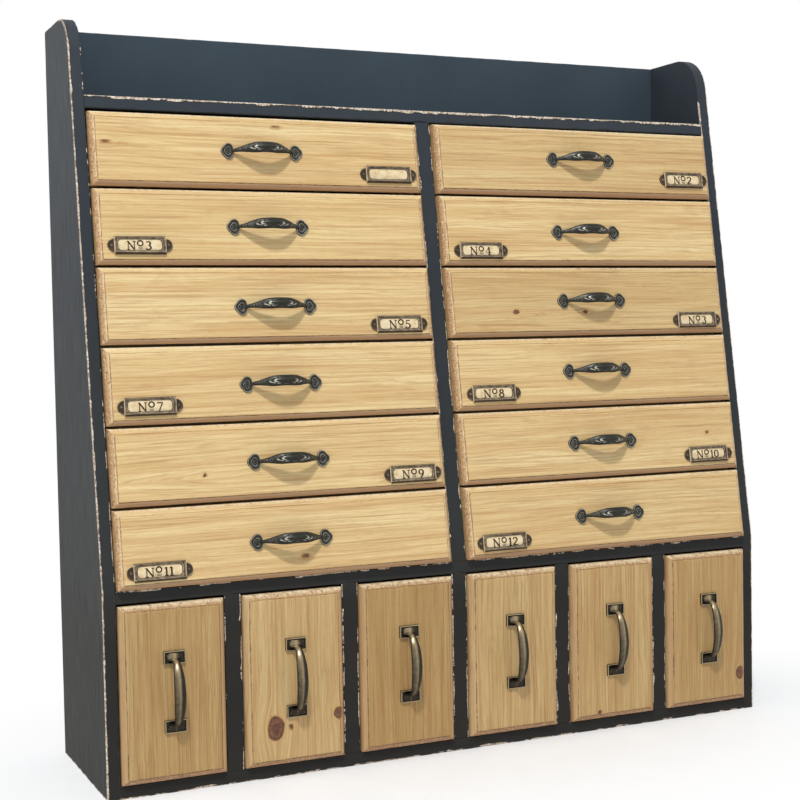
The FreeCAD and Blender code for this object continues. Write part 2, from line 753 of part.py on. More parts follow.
def strap_pull():
    """A strap bent to a D between two rimmed plates, pinned at their corners."""
    body = new_body("strap_pull")
    sections = []
    for number, share in enumerate(STRAP_STATIONS):
        squareness = 1 - abs(share) ** 3
        fullness = 1 - share ** 2
        sketch = sketch_on(body, f"strap_section_{number}", "XY_Plane", f"{share} * strap_half_span")
        rise = f"-(strap_foot_rise + {squareness} * (strap_rise - strap_foot_rise))"
        depth = f"(strap_end_half_depth + {fullness} * (strap_mid_half_depth - strap_end_half_depth))"
        width = f"(strap_end_half_width + {fullness} * (strap_mid_half_width - strap_end_half_width))"
        add_ellipse(sketch, "0", rise, width, depth)
        sections.append(sketch)
    loft(body, sections, "strap_bar")
    for end, way in (("lower", -1), ("upper", 1)):
        near = f"{way} * ({STRAP_PLATE_MIDDLE} - strap_plate_height / 2)"
        far = f"{way} * ({STRAP_PLATE_MIDDLE} + strap_plate_height / 2)"
        plate = sketch_on(body, f"strap_{end}_plate_sketch", "XZ_Plane")
        add_loop(plate, [
            ("-strap_plate_width / 2", near),
            ("strap_plate_width / 2", near),
            ("strap_plate_width / 2", far),
            ("-strap_plate_width / 2", far),
        ])
        pad(body, plate, f"strap_{end}_plate", "strap_plate - strap_sink")
        rim = sketch_on(body, f"strap_{end}_rim_sketch", "XZ_Plane")
        for inset in ("0", "strap_rim"):
            add_loop(rim, [
                (f"-(strap_plate_width / 2 - {inset})", f"{near} + {way} * {inset}"),
                (f"strap_plate_width / 2 - {inset}", f"{near} + {way} * {inset}"),
                (f"strap_plate_width / 2 - {inset}", f"{far} - {way} * {inset}"),
                (f"-(strap_plate_width / 2 - {inset})", f"{far} - {way} * {inset}"),
            ])
        pad(body, rim, f"strap_{end}_rim", "strap_plate")
    holes = sketch_on(body, "strap_holes_sketch", "XZ_Plane")
    pins = []
    for number, (across, up) in enumerate(STRAP_PIN_PLACES, 1):
        place = (f"{across} * strap_pin_reach", f"{up} * {STRAP_PIN_HEIGHT}")
        add_circle(holes, place[0], place[1], pierced("pin_shank"))
        pins.append(fastening(f"strap_pin_{number}", place[0], place[1], "(strap_plate - strap_sink)",
                              "pin_head", "pin_dome", "pin_shank", "pin_depth"))
    pocket(body, holes, "strap_holes", "2 * strap_plate", along_normal=True)
    return [body] + pins


# ---------------------------------------------------------------- label holders
LIP_TOP = "(-label_height / 2 + lip_height)"


def label_holder():
    """A framed window between two round ears, with a lip under it, and its two pins."""
    body = new_body("label_holder")
    ears = sketch_on(body, "label_ears_sketch", "XZ_Plane")
    for way in (-1, 1):
        add_circle(ears, f"{way} * ear_reach", "0", "ear_radius")
    frame = sketch_on(body, "label_frame_sketch", "XZ_Plane")
    add_loop(frame, box_profile(
        "-label_width / 2", "-label_height / 2",
        "label_width / 2", "label_height / 2",
    ))
    pad(body, frame, "label_frame_pad", "label_frame")
    pad(body, ears, "label_ears", "ear_plate")
    lip = sketch_on(body, "label_lip_sketch", "XZ_Plane")
    add_loop(lip, box_profile("-label_width / 2", "-label_height / 2", "label_width / 2", LIP_TOP))
    pad(body, lip, "label_lip", "lip_depth")
    window = sketch_on(body, "label_window_sketch", "XZ_Plane")
    add_loop(window, box_profile(
        "-window_width / 2", "window_raise - window_height / 2",
        "window_width / 2", "window_raise + window_height / 2",
    ))
    opened = pocket(body, window, "label_window", "2 * lip_depth", along_normal=True)
    corners = [
        (across * value("window_width / 2"), value(f"window_raise + {up} * window_height / 2"))
        for across in (-1, 1)
        for up in (-1, 1)
    ]

    def at_corner_x_z(point, x, z):
        return abs(point.x - x) < TOUCH and abs(point.z - z) < TOUCH

    def at_window_corner(edge):
        return any(ends_at(edge, lambda point: at_corner_x_z(point, x, z)) for x, z in corners)

    round_edges(body, opened, "label_window_corners", "window_round", at_window_corner)
    holes = sketch_on(body, "label_holes_sketch", "XZ_Plane")
    pins = []
    for number, way in ((1, -1), (2, 1)):
        add_circle(holes, f"{way} * label_pin_reach", "0", pierced("pin_shank"))
        pins.append(fastening(f"label_pin_{number}", f"{way} * label_pin_reach", "0", "ear_plate",
                              "pin_head", "pin_dome", "pin_shank", "pin_depth"))
    pocket(body, holes, "label_holes", "2 * lip_depth", along_normal=True)
    return [body] + pins


# ---------------------------------------------------------------- the twelve wide drawers
bow_pieces = bow_pull()
strap_pieces = strap_pull()
label_pieces = label_holder()

UPPER_MIDDLE = "(front_lift + upper_front_height / 2)"
LABEL_HEIGHT_UP = "(front_lift + label_rise)"
LABEL_PLACES = {
    "left": "(front_gap + label_from_left)",
    "right": f"({UPPER_OPENING} - front_gap - label_from_right)",
}

# The pulls and labels are set by hand, so each sits a little off its place: the pull's steps
# across and up, then the label's. A step is hand_step long.
HAND_SET = {
    1: (-3, 0, 0, 1),
    2: (4, 5, 1, 7),
    3: (-2, 1, 0, 3),
    4: (0, -2, 2, -3),
    5: (2, -4, -3, -3),
    6: (-1, 1, 0, -4),
    7: (1, -3, -1, 1),
    8: (-3, 2, 3, 1),
    9: (5, -1, 0, -2),
    10: (-6, 1, -5, 1),
    11: (-1, -2, -3, -2),
    12: (-5, -1, -2, -1),
}


def pull_place(number):
    """Where a wide drawer's pull sits, across and up from its opening's lower left corner."""
    across, up = HAND_SET[number][:2]
    return f"({UPPER_OPENING} / 2 + {across} * hand_step)", f"({UPPER_MIDDLE} + {up} * hand_step)"


def label_place(number, hand):
    """Where a wide drawer's label sits, across and up from its opening's lower left corner."""
    across, up = HAND_SET[number][2:]
    return f"({LABEL_PLACES[hand]} + {across} * hand_step)", f"({LABEL_HEIGHT_UP} + {up} * hand_step)"


def upper_holes(number, hand):
    """The pilot holes in a wide front: two for the pull's screws, two for the label's pins."""
    pull_across, pull_up = pull_place(number)
    label_across, label_up = label_place(number, hand)
    pull_holes = [
        (f"{pull_across} + {way} * bow_screw_reach", pull_up, pierced("screw_shank"), "screw_depth")
        for way in (-1, 1)
    ]
    pin_holes = [
        (f"{label_across} + {way} * label_pin_reach", label_up, pierced("pin_shank"), "pin_depth")
        for way in (-1, 1)
    ]
    return pull_holes + pin_holes


upper_blank = front_blank("upper_front", UPPER_OPENING, SLOPE, "upper_front_height", "upper_proud")


def upper_rear(row):
    """The far end of a row's drawer boxes, from the case front at that row's floor."""
    return f"({INNER_DEPTH} - rear_gap - {setback(floor_of(row))})"


def hang_on_front(label, pieces, across, up, column, row):
    """Sets metalwork on a wide drawer's leaning face."""
    metal = group(label, pieces)
    floor = floor_of(row)
    put(
        metal,
        f"{upper_left(column)} + {across}",
        f"{FRONT} + {setback(floor)} + {leaning('(-upper_proud)', SLOPE, up)}",
        f"{BEND} + {floor} + {up}",
        SLOPE,
    )


number = 0
for row in range(1, ROWS + 1):
    box = drawer_box(f"upper_box_row_{row}", UPPER_OPENING, SLOPE, "upper_proud", "upper_box_height",
                     upper_rear(row))
    for column in range(1, COLUMNS + 1):
        number += 1
        hand = "right" if row % 2 else "left"
        front = drilled_front(f"upper_front_{number:02d}", upper_blank, SLOPE, "upper_proud",
                              upper_holes(number, hand))
        drawer = group(f"upper_drawer_{number:02d}", [front] + box)
        floor = floor_of(row)
        put(drawer, upper_left(column), f"{FRONT} + {setback(floor)}", f"{BEND} + {floor}")
        hang_on_front(f"bow_pull_{number:02d}", bow_pieces, *pull_place(number), column, row)
        hang_on_front(f"label_holder_{number:02d}", label_pieces, *label_place(number, hand), column, row)

# ---------------------------------------------------------------- the six tall drawers
STRAP_MIDDLE = "(front_lift + lower_front_height / 2 + strap_lift)"

lower_blank = front_blank("lower_blank", LOWER_OPENING_WIDTH, NO_SLOPE, "lower_front_height", "lower_proud")
lower_front = drilled_front(
    "lower_front", lower_blank, NO_SLOPE, "lower_proud",
    [
        (
            f"{LOWER_OPENING_WIDTH} / 2 + {across} * strap_pin_reach",
            f"{STRAP_MIDDLE} + {up} * {STRAP_PIN_HEIGHT}",
            pierced("pin_shank"),
            "pin_depth",
        )
        for across, up in STRAP_PIN_PLACES
    ],
)
lower_box = drawer_box("lower_box", LOWER_OPENING_WIDTH, NO_SLOPE, "lower_proud", "lower_box_height",
                       f"({INNER_DEPTH} - rear_gap)")
for number in range(1, LOWER_COUNT + 1):
    drawer = group(f"lower_drawer_{number}", [lower_front] + lower_box)
    put(drawer, lower_left(number), FRONT, "base_board")
    pull = group(f"strap_pull_{number}", strap_pieces)
    put(pull, f"{lower_left(number)} + {LOWER_OPENING_WIDTH} / 2", f"{FRONT} - lower_proud",
        f"base_board + {STRAP_MIDDLE}")

# ---------------------------------------------------------------- check and export
doc.recompute()
for thing in doc.Objects:
    if "Invalid" in thing.State or "Error" in thing.State:
        raise RuntimeError(f"{thing.Name} is {thing.State}")
for thing in sub_parts:
    if thing.Shape.isNull() or not thing.Shape.isValid():
        raise RuntimeError(f"{thing.Label} has no valid shape")

os.makedirs("parts", exist_ok=True)
for thing in sub_parts:
    thing.Shape.exportStep(os.path.join("parts", thing.Label + ".step"))
    print(f"{thing.Label}: {len(thing.Shape.Solids)} solids, {thing.Shape.Volume / 1000:.1f} cm3")
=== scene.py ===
# %% [markdown]
# # A spice cabinet with eighteen drawers
#
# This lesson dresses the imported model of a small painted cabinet: a case in rubbed black paint, pine
# drawer fronts with a moulded edge, and pulls and card holders in dark brass. Every shape is worked out
# with numpy as a grid of points, in millimetres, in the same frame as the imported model: +X to the right,
# +Y to the back, +Z up, and the origin in the middle of the underside.

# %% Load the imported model
import math

import bpy
import numpy as np
from mathutils import Matrix, Vector


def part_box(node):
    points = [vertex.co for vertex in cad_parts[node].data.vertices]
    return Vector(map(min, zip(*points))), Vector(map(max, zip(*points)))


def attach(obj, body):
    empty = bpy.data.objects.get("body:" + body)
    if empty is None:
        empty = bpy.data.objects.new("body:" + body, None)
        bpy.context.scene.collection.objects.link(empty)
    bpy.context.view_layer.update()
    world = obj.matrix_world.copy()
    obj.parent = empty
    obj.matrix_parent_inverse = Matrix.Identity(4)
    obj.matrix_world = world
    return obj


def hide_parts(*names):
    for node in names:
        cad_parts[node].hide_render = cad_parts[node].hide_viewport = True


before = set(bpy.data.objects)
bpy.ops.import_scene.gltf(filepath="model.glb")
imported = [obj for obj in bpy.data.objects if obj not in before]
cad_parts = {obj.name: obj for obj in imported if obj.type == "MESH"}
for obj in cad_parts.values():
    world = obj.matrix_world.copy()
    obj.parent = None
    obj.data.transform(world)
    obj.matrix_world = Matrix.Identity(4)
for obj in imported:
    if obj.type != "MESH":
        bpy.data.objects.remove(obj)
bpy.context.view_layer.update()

# %% [markdown]
# ## Measures
#
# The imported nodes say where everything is, so the main measures are read from their boxes. Only what a box
# can't tell, such as how far the upper front leans back, is written down as a number.

# %% Measures of the case
MM = 0.001


def node_box(name):
    """Lowest and highest corner of a node, in millimetres."""
    low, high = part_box(name)
    return np.array(low) / MM, np.array(high) / MM


side_low, side_high = node_box("left_side")
CASE_LEFT, FRONT = side_low[0], side_low[1]
INNER_LEFT, BACK, CASE_TOP = side_high
BOARD = INNER_LEFT - CASE_LEFT
BEND = node_box("middle_shelf")[1][2]
RAIL_UNDER = node_box("middle_shelf")[0][2]
SHELF_UNDER = node_box("top_shelf")[0][2]
SHELF_TOP = node_box("top_shelf")[1][2]
INNER_BACK = node_box("back_panel")[0][1]
GALLERY_FACE = node_box("gallery_board")[0][1]
SHELF_SETBACK = 68.6             # how far the leaning front has gone back at the top shelf's upper face
SLOPE = SHELF_SETBACK / (SHELF_TOP - BEND)
ROWS = 6
COLUMNS = 2
TALL_DRAWERS = 6
DIVIDER = node_box("centre_divider")[1][0] * 2
UPPER_OPENING = -INNER_LEFT - DIVIDER / 2
ROW_PITCH = (SHELF_UNDER - BEND) / ROWS
TALL_DIVIDER = 16
TALL_OPENING = (-2 * INNER_LEFT - (TALL_DRAWERS - 1) * TALL_DIVIDER) / TALL_DRAWERS


def front_at(z):
    """Where the case's front is at height z: upright up to the bend, then leaning back."""
    return FRONT + SLOPE * np.maximum(z - BEND, 0)


print(f"case {-2 * CASE_LEFT:.0f} x {BACK - FRONT:.0f} x {CASE_TOP:.0f} mm, lean {SLOPE:.4f}")

# %% [markdown]
# ## From a grid of points to a closed skin
#
# A board, a bar or a plate is a row of rings, each ring a closed line of points. Joining ring to ring
# gives four-sided faces, and one flat face closes each end. A frame has no ends: its last ring meets its
# first. The sign of the enclosed volume says whether the faces point outwards, and where they don't they
# are turned. Numbers that belong to a point, such as its distance from a worn edge, go along as named
# values, which the finishes read later.


# %% Closed skins
def enclosed_volume(points, faces):
    """Volume inside a skin: the sum of the tetrahedra from the origin to each triangle of a face's fan."""
    total = 0.0
    for face in faces:
        corners = points[np.asarray(face)]
        first, second, third = corners[..., :1, :], corners[..., 1:-1, :], corners[..., 2:, :]
        total += np.sum(first * np.cross(second, third)) / 6
    return total


def closed_skin(rings, looped=False, **values):
    """A skin from rings[row, column]: face (i, j) joins (i, j), (i, j+1), (i+1, j+1) and (i+1, j), round the
    ring. Unless it is looped, the first and last ring are closed by one flat face each."""
    rows, columns = rings.shape[:2]
    index = np.arange(rows * columns).reshape(rows, columns)
    beside = np.roll(index, -1, axis=1)
    above, above_beside = np.roll(index, -1, axis=0), np.roll(beside, -1, axis=0)
    quads = np.stack([index, beside, above_beside, above], axis=-1)
    quads = quads if looped else quads[:-1]
    faces = [quads.reshape(-1, 4)]
    if not looped:
        faces += [index[:1, ::-1], index[-1:]]
    points = rings.reshape(-1, 3)
    if enclosed_volume(points, faces) < 0:
        faces = [face[:, ::-1] for face in faces]
    flat = {}
    for key, value in values.items():
        whole = np.broadcast_to(value, rings.shape[:2] + np.shape(value)[2:])
        flat[key] = whole.reshape((rows * columns,) + whole.shape[2:])
    return {"points": points, "faces": faces, "values": flat}


# %% A piece from its skins
SHARP_ANGLE = 38
made_pieces = []


def piece(name, skins, body, finish, replaces=(), sharp=SHARP_ANGLE):
    """One object from several skins, in metres, riding on a body; edges sharper than the angle stay crisp."""
    points, faces, start = [], [], 0
    for skin in skins:
        points.append(skin["points"])
        for some in skin["faces"]:
            faces.extend((some + start).tolist())
        start += len(skin["points"])
    mesh = bpy.data.meshes.new(name)
    mesh.from_pydata((np.concatenate(points) * MM).tolist(), [], faces)
    for key in skins[0]["values"]:
        numbers = np.concatenate([skin["values"][key] for skin in skins])
        kind, field = ("FLOAT", "value") if numbers.ndim == 1 else ("FLOAT_VECTOR", "vector")
        mesh.attributes.new(key, kind, "POINT").data.foreach_set(field, numbers.astype(np.float32).ravel())
    mesh.shade_smooth()
    mesh.set_sharp_from_angle(angle=math.radians(sharp))
    mesh.materials.append(finish)
    made = bpy.data.objects.new(name, mesh)
    bpy.context.scene.collection.objects.link(made)
    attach(made, body)
    if replaces:
        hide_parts(*replaces)
    made_pieces.append(made)
    return made


# %% [markdown]
# ## Wandering numbers
#
# Wear is never even. `wander` gives a smooth random line and `mottle` a smooth random surface: both hold
# random heights at even places and ease from one to the next, so that the same seed always gives the same
# wear.


# %% Random lines and surfaces
TABLE = 512


def eased(part):
    """Goes from 0 to 1 with no slope at either end: 3 t² - 2 t³."""
    return part * part * (3 - 2 * part)


def band(value, at, wide):
    """A smooth bump that is 1 where the value is at its place: exp(-((value - at) / wide)²)."""
    return np.exp(-(((value - at) / wide) ** 2))


def wander(along, pitch, seed):
    """A smooth random line from -1 to 1 with a new height every pitch."""
    heights = np.random.default_rng(seed).uniform(-1, 1, TABLE)
    place = np.asarray(along, float) / pitch
    whole = np.floor(place).astype(int)
    low, high = heights[whole % TABLE], heights[(whole + 1) % TABLE]
    return low + (high - low) * eased(place - whole)


def mottle(first, second, pitches, seed):
    """A smooth random surface from -1 to 1: four random heights round each point, eased both ways."""
    heights = np.random.default_rng(seed).uniform(-1, 1, (TABLE, TABLE))
    a, b = np.broadcast_arrays(np.asarray(first, float) / pitches[0], np.asarray(second, float) / pitches[1])
    i, j = np.floor(a).astype(int), np.floor(b).astype(int)
    s, t = eased(a - i), eased(b - j)
    i, j, i_next, j_next = i % TABLE, j % TABLE, (i + 1) % TABLE, (j + 1) % TABLE
    near = heights[i, j] * (1 - s) + heights[i_next, j] * s
    far = heights[i, j_next] * (1 - s) + heights[i_next, j_next] * s
    return near * (1 - t) + far * t


print("wander at 0, 5 and 10 mm:", np.round(wander([0, 5, 10], 8, 1), 2))

# %% [markdown]
# ## Finishes
#
# Each finish is a small tree of nodes. Three helpers keep the trees short: one adds a node and joins its
# inputs, one turns a height into a bump, and one makes the material with its shader. Colours are written
# as they look on a screen, from 0 to 255, and turned into the linear numbers that the shader wants.


# %% Node helpers
def colour(red, green, blue):
    """A screen colour as linear light: ((c + 0.055) / 1.055) to the power 2.4."""
    screen = np.array([red, green, blue]) / 255
    linear = np.where(screen > 0.04045, ((screen + 0.055) / 1.055) ** 2.4, screen / 12.92)
    return (*linear.tolist(), 1.0)


class Finish:
    """A material whose nodes are added one by one."""

    def __init__(self, name, **constants):
        self.material = bpy.data.materials.new(name)
        self.material.use_nodes = True
        self.tree = self.material.node_tree
        self.shader = self.tree.nodes["Principled BSDF"]
        for key, number in constants.items():
            self.shader.inputs[key.replace("_", " ")].default_value = number

    def add(self, kind, inputs, **settings):
        """A node of a kind, its settings made, and each input joined to a socket or given a number."""
        made = self.tree.nodes.new("ShaderNode" + kind)
        for key, setting in settings.items():
            setattr(made, key, setting)
        for key, given in inputs.items():
            if isinstance(given, bpy.types.NodeSocket):
                self.tree.links.new(given, made.inputs[key])
            else:
                made.inputs[key].default_value = given
        return made

    def place(self):
        """Where a point is on its piece, in metres."""
        return self.add("TexCoord", {}).outputs["Object"]

    def number(self, name):
        """A named value of the mesh."""
        return self.add("Attribute", {}, attribute_name=name).outputs["Fac"]

    def vector(self, name):
        """A named triple of the mesh."""
        return self.add("Attribute", {}, attribute_name=name).outputs["Vector"]

    def stretch(self, vector, scale, shift=(0, 0, 0)):
        """A vector scaled on each axis and moved."""
        return self.add("Mapping", {"Vector": vector, "Scale": scale, "Location": shift}).outputs["Vector"]

    def noise(self, vector, scale, detail=4, roughness=0.5, distortion=0):
        """Cloudy noise from 0 to 1."""
        inputs = {"Vector": vector, "Scale": scale, "Detail": detail, "Roughness": roughness,
                  "Distortion": distortion}
        return self.add("TexNoise", inputs).outputs["Fac"]

    def maths(self, operation, *numbers, clamp=False):
        """One sum, product or other operation on one to three numbers."""
        inputs = dict(enumerate(numbers))
        return self.add("Math", inputs, operation=operation, use_clamp=clamp).outputs[0]

    def spread(self, value, low, high, start=0.0, end=1.0):
        """Maps low..high to start..end, smoothly and within them."""
        inputs = {"Value": value, "From Min": low, "From Max": high, "To Min": start, "To Max": end}
        return self.add("MapRange", inputs, interpolation_type="SMOOTHSTEP").outputs["Result"]

    def mix(self, part, first, second, blend="MIX"):
        """Two colours mixed by a part from 0 to 1."""
        inputs = {0: part, 6: first, 7: second}
        return self.add("Mix", inputs, data_type="RGBA", blend_type=blend).outputs[2]

    def ramp(self, part, *stops):
        """Colours at places from 0 to 1, with even steps between them."""
        made = self.add("ValToRGB", {0: part})
        elements = made.color_ramp.elements
        while len(elements) < len(stops):
            elements.new(1.0)
        for element, (place, shade) in zip(elements, stops):
            element.position = place
            element.color = shade
        return made.outputs["Color"]

    def use(self, base, roughness, height, depth, strength=1.0):
        """Joins the base colour, the roughness and a bump of a depth in metres to the shader."""
        bump = self.add("Bump", {"Height": height, "Distance": depth, "Strength": strength})
        self.tree.links.new(bump.outputs["Normal"], self.shader.inputs["Normal"])
        self.tree.links.new(base, self.shader.inputs["Base Color"])
        self.tree.links.new(roughness, self.shader.inputs["Roughness"])
        return self.material


# %% [markdown]
# ### Rubbed black paint
#
# The case was painted blue-black and then rubbed through at its edges, where the pale ground shows in
# broken lines. A picture of such wear would have to be painted for every board, so the mesh says instead
# how far each point is from an exposed edge, in millimetres and divided by how hard that edge is worn, as
# the value "rim". The paint is gone where "rim" is less than a limit that three scales of noise move
# about. The limit stays between two numbers, so a hard-worn edge always shows a thin pale line, and one
# that is hardly worn shows it only here and there.


# %% Where the paint has gone
LEAST_REACH, MOST_REACH = 0.3, 0.9


def rubbed_through(paint, place):
    """How far the paint has gone, a wider halo of that, and the finest noise. The limit is the product of
    three noises, kept between the least and the most reach, and the paint has gone where "rim" is less."""
    broad = paint.noise(place, 14, 2)
    patchy = paint.noise(place, 75, 3, 0.6)
    crumbs = paint.noise(place, 420, 3, 0.65)
    reach = paint.spread(broad, 0.4, 0.62, 0.42, 1.25)
    reach = paint.maths("MULTIPLY", reach, paint.spread(patchy, 0.4, 0.64, 0.3, 1.6))
    reach = paint.maths("MULTIPLY", reach, paint.spread(crumbs, 0.3, 0.6, 0.5, 1.2))
    reach = paint.maths("MAXIMUM", paint.maths("MINIMUM", reach, MOST_REACH), LEAST_REACH)
    past = paint.maths("SUBTRACT", reach, paint.number("rim"))
    return paint.spread(past, 0.0, 0.15), paint.spread(past, -1.2, 0.1), crumbs


# %% [markdown]
# Old paint isn't one colour. The outer faces of the two sides have faint upright streaks, and towards the top
# they are painted lighter, a painted sheen. All the paint is painted darker and browner towards the floor, a
# painted shade where less light falls from above. Only on the sides' outer faces is the direction that they
# face, times their place across, a large number, so no extra value is needed to find them.


# %% Paint
PER_HEIGHT = 1.4                 # turns a height in metres into nearly the share of the case's height
OUTER_FACE = (0.2, 0.33)         # where direction times place across goes from an inner face to an outer one


def streaks_and_painted_light(paint, place, dark):
    """Mixes streaks and a painted sheen into the sides' outer faces, and paints shade darker towards the
    floor.
    """
    facing = paint.add("SeparateXYZ", {"Vector": paint.add("NewGeometry", {}).outputs["Normal"]}).outputs
    spot = paint.add("SeparateXYZ", {"Vector": place}).outputs
    level = paint.maths("MULTIPLY", spot["Z"], PER_HEIGHT)
    outer = paint.spread(paint.maths("MULTIPLY", facing["X"], spot["X"]), *OUTER_FACE)
    # Painted sheen: the upper part of the sides' outer faces is painted lighter.
    painted_side_sheen = paint.maths("MULTIPLY", outer, paint.spread(level, 0.5, 1.0, 0.0, 0.3))
    dark = paint.mix(painted_side_sheen, dark, colour(84, 88, 88))
    streaky = paint.noise(paint.stretch(place, (48, 48, 3.4)), 1, 3)
    streaked = paint.maths("MULTIPLY", outer, paint.spread(streaky, 0.42, 0.68, 0.0, 0.05))
    dark = paint.mix(streaked, dark, colour(92, 95, 95))
    # Painted shade: every colour is multiplied darker and browner towards the floor.
    painted_height_shade = paint.ramp(level, (0.2, colour(212, 191, 168)), (0.3, colour(240, 228, 210)),
                       (0.65, colour(240, 235, 230)), (0.85, colour(250, 250, 250)))
    return paint.mix(1.0, dark, painted_height_shade, "MULTIPLY")


def rubbed_paint(name, deep, middle, pale):
    """Paint in three shades, brushed and streaked, with painted sheen and painted shade, and the ground where
    it has gone.
    """
    paint = Finish(name, Specular_IOR_Level=0.1)
    place = paint.place()
    gone, halo, crumbs = rubbed_through(paint, place)
    brushed = paint.noise(paint.stretch(place, (420, 420, 26)), 1, 3, 0.6)
    cloudy = paint.noise(place, 9, 5, 0.6)
    dark = paint.ramp(cloudy, (0.25, deep), (0.55, middle), (0.8, pale))
    dark = paint.mix(paint.spread(brushed, 0.45, 0.8, 0, 0.25), dark, colour(66, 72, 76))
    dark = streaks_and_painted_light(paint, place, dark)
    dark = paint.mix(paint.maths("MULTIPLY", halo, 0.5), dark, colour(58, 50, 46))
    ground = paint.ramp(crumbs, (0.32, colour(112, 86, 66)), (0.48, colour(184, 164, 142)),
                        (0.62, colour(226, 218, 204)))
    base = paint.mix(gone, dark, ground)
    roughness = paint.spread(brushed, 0.3, 0.7, 0.5, 0.66)
    height = paint.maths("SUBTRACT", paint.maths("MULTIPLY", brushed, 0.25), gone)
    return paint.use(base, roughness, height, 0.0003, 0.7)


# %% [markdown]
# ### Waxed pine
#
# Each front is one flat-sawn board. A wood pattern on Object coordinates would cut every board in the same
# way, so a front's own mesh carries its grain: "grain" holds the distance along the grain, the distance
# across it, already bent round the knots, and a number for the board. The growth rings are bands across
# that bent distance, with streaks and fibres between them, and "tone" is higher where the wood is browner.


# %% Grain of the pine
def board_shade(pine, grain):
    """The board's colour, and the streaks, fibres and late wood that also roughen it. The rings are the part
    after the point of 24 across + 6 slow + 2 streaks, which darkens late and ends suddenly."""
    across = pine.add("SeparateXYZ", {"Vector": grain}).outputs["Y"]
    slow = pine.noise(pine.stretch(grain, (0.5, 3, 1)), 1, 2)
    bands = pine.noise(pine.stretch(grain, (0.3, 8, 1), (3, 5, 0)), 1, 3, 0.6)
    hue = pine.noise(pine.stretch(grain, (0.35, 12, 1), (9, 2, 4)), 1, 3, 0.6)
    streaks = pine.noise(pine.stretch(grain, (0.8, 30, 1)), 1, 5, 0.66)
    lines = pine.noise(pine.stretch(grain, (0.9, 78, 1), (5, 1, 0)), 1, 3, 0.6)
    fibres = pine.noise(pine.stretch(grain, (9, 260, 1)), 1, 3, 0.6)
    blots = pine.noise(pine.stretch(grain, (3.2, 9, 1), (2, 7, 0)), 1, 3, 0.6)

    rings = pine.maths("MULTIPLY_ADD", across, 24.0, pine.maths("MULTIPLY", slow, 6.0))
    rings = pine.maths("ADD", rings, pine.maths("MULTIPLY", streaks, 2.0))
    saw = pine.maths("FRACT", rings)
    late = pine.maths("MULTIPLY", pine.spread(saw, 0.5, 0.92), pine.spread(saw, 1.0, 0.94))
    late = pine.maths("MULTIPLY", late, pine.spread(bands, 0.36, 0.62, 0.0, 1.0))

    shade = pine.ramp(bands, (0.3, colour(211, 176, 122)), (0.5, colour(224, 194, 138)),
                      (0.7, colour(234, 210, 156)))
    shade = pine.mix(pine.spread(hue, 0.46, 0.66, 0, 0.55), shade, colour(212, 172, 116))
    shade = pine.mix(pine.maths("MULTIPLY", late, 0.4), shade, colour(184, 140, 92))
    shade = pine.mix(pine.spread(streaks, 0.5, 0.7, 0, 0.42), shade, colour(184, 146, 94))
    shade = pine.mix(pine.spread(streaks, 0.5, 0.3, 0, 0.45), shade, colour(242, 220, 166))
    shade = pine.mix(pine.spread(lines, 0.52, 0.68, 0, 0.55), shade, colour(178, 134, 88))
    shade = pine.mix(pine.spread(lines, 0.46, 0.32, 0, 0.4), shade, colour(244, 222, 172))
    shade = pine.mix(pine.spread(fibres, 0.5, 0.75, 0, 0.42), shade, colour(172, 132, 84))
    shade = pine.mix(pine.spread(blots, 0.56, 0.74, 0, 0.3), shade, colour(186, 148, 100))
    return pine.mix(pine.number("tone"), shade, colour(158, 128, 66), "MULTIPLY"), streaks, fibres, late


# %% [markdown]
# The value "knot" grows towards a knot's middle, where the wood is dark red, cracked and blotchy. A deep
# knot gets the whole of the ramp and a shallow one only its first, pale part.


# %% Knots of the pine
def with_knots(pine, shade, place):
    """Lays the knots over the board's colour."""
    knot = pine.number("knot")
    core = pine.ramp(knot, (0.0, colour(218, 176, 120)), (0.28, colour(200, 152, 96)),
                     (0.48, colour(98, 64, 42)), (0.6, colour(104, 68, 48)),
                     (0.8, colour(128, 86, 62)), (1.0, colour(98, 64, 48)))
    cracks = pine.noise(place, 330, 4, 0.7)
    core = pine.mix(pine.spread(cracks, 0.48, 0.36, 0, 0.7), core, colour(70, 46, 36))
    core = pine.mix(pine.spread(cracks, 0.56, 0.68, 0, 0.5), core, colour(150, 108, 84))
    return pine.mix(pine.spread(knot, 0.05, 0.5), shade, core)


# %% [markdown]
# The mouldings show handling. "quirk" is 1 in the groove behind the moulding, which is darkened by dirt and
# old wax and by painted shade, less along the top, where light reaches in. "torn" is 1 on mouldings that cut
# across the grain, which are rough and pitted. "worn" is high on their crests, which are rubbed pale, and
# along the top moulding's edge, whose pale line is partly rubbed wood and partly a painted highlight. "foot"
# is high on the mouldings that face down and lower on the side mouldings, which are painted darker and
# browner as painted shade.


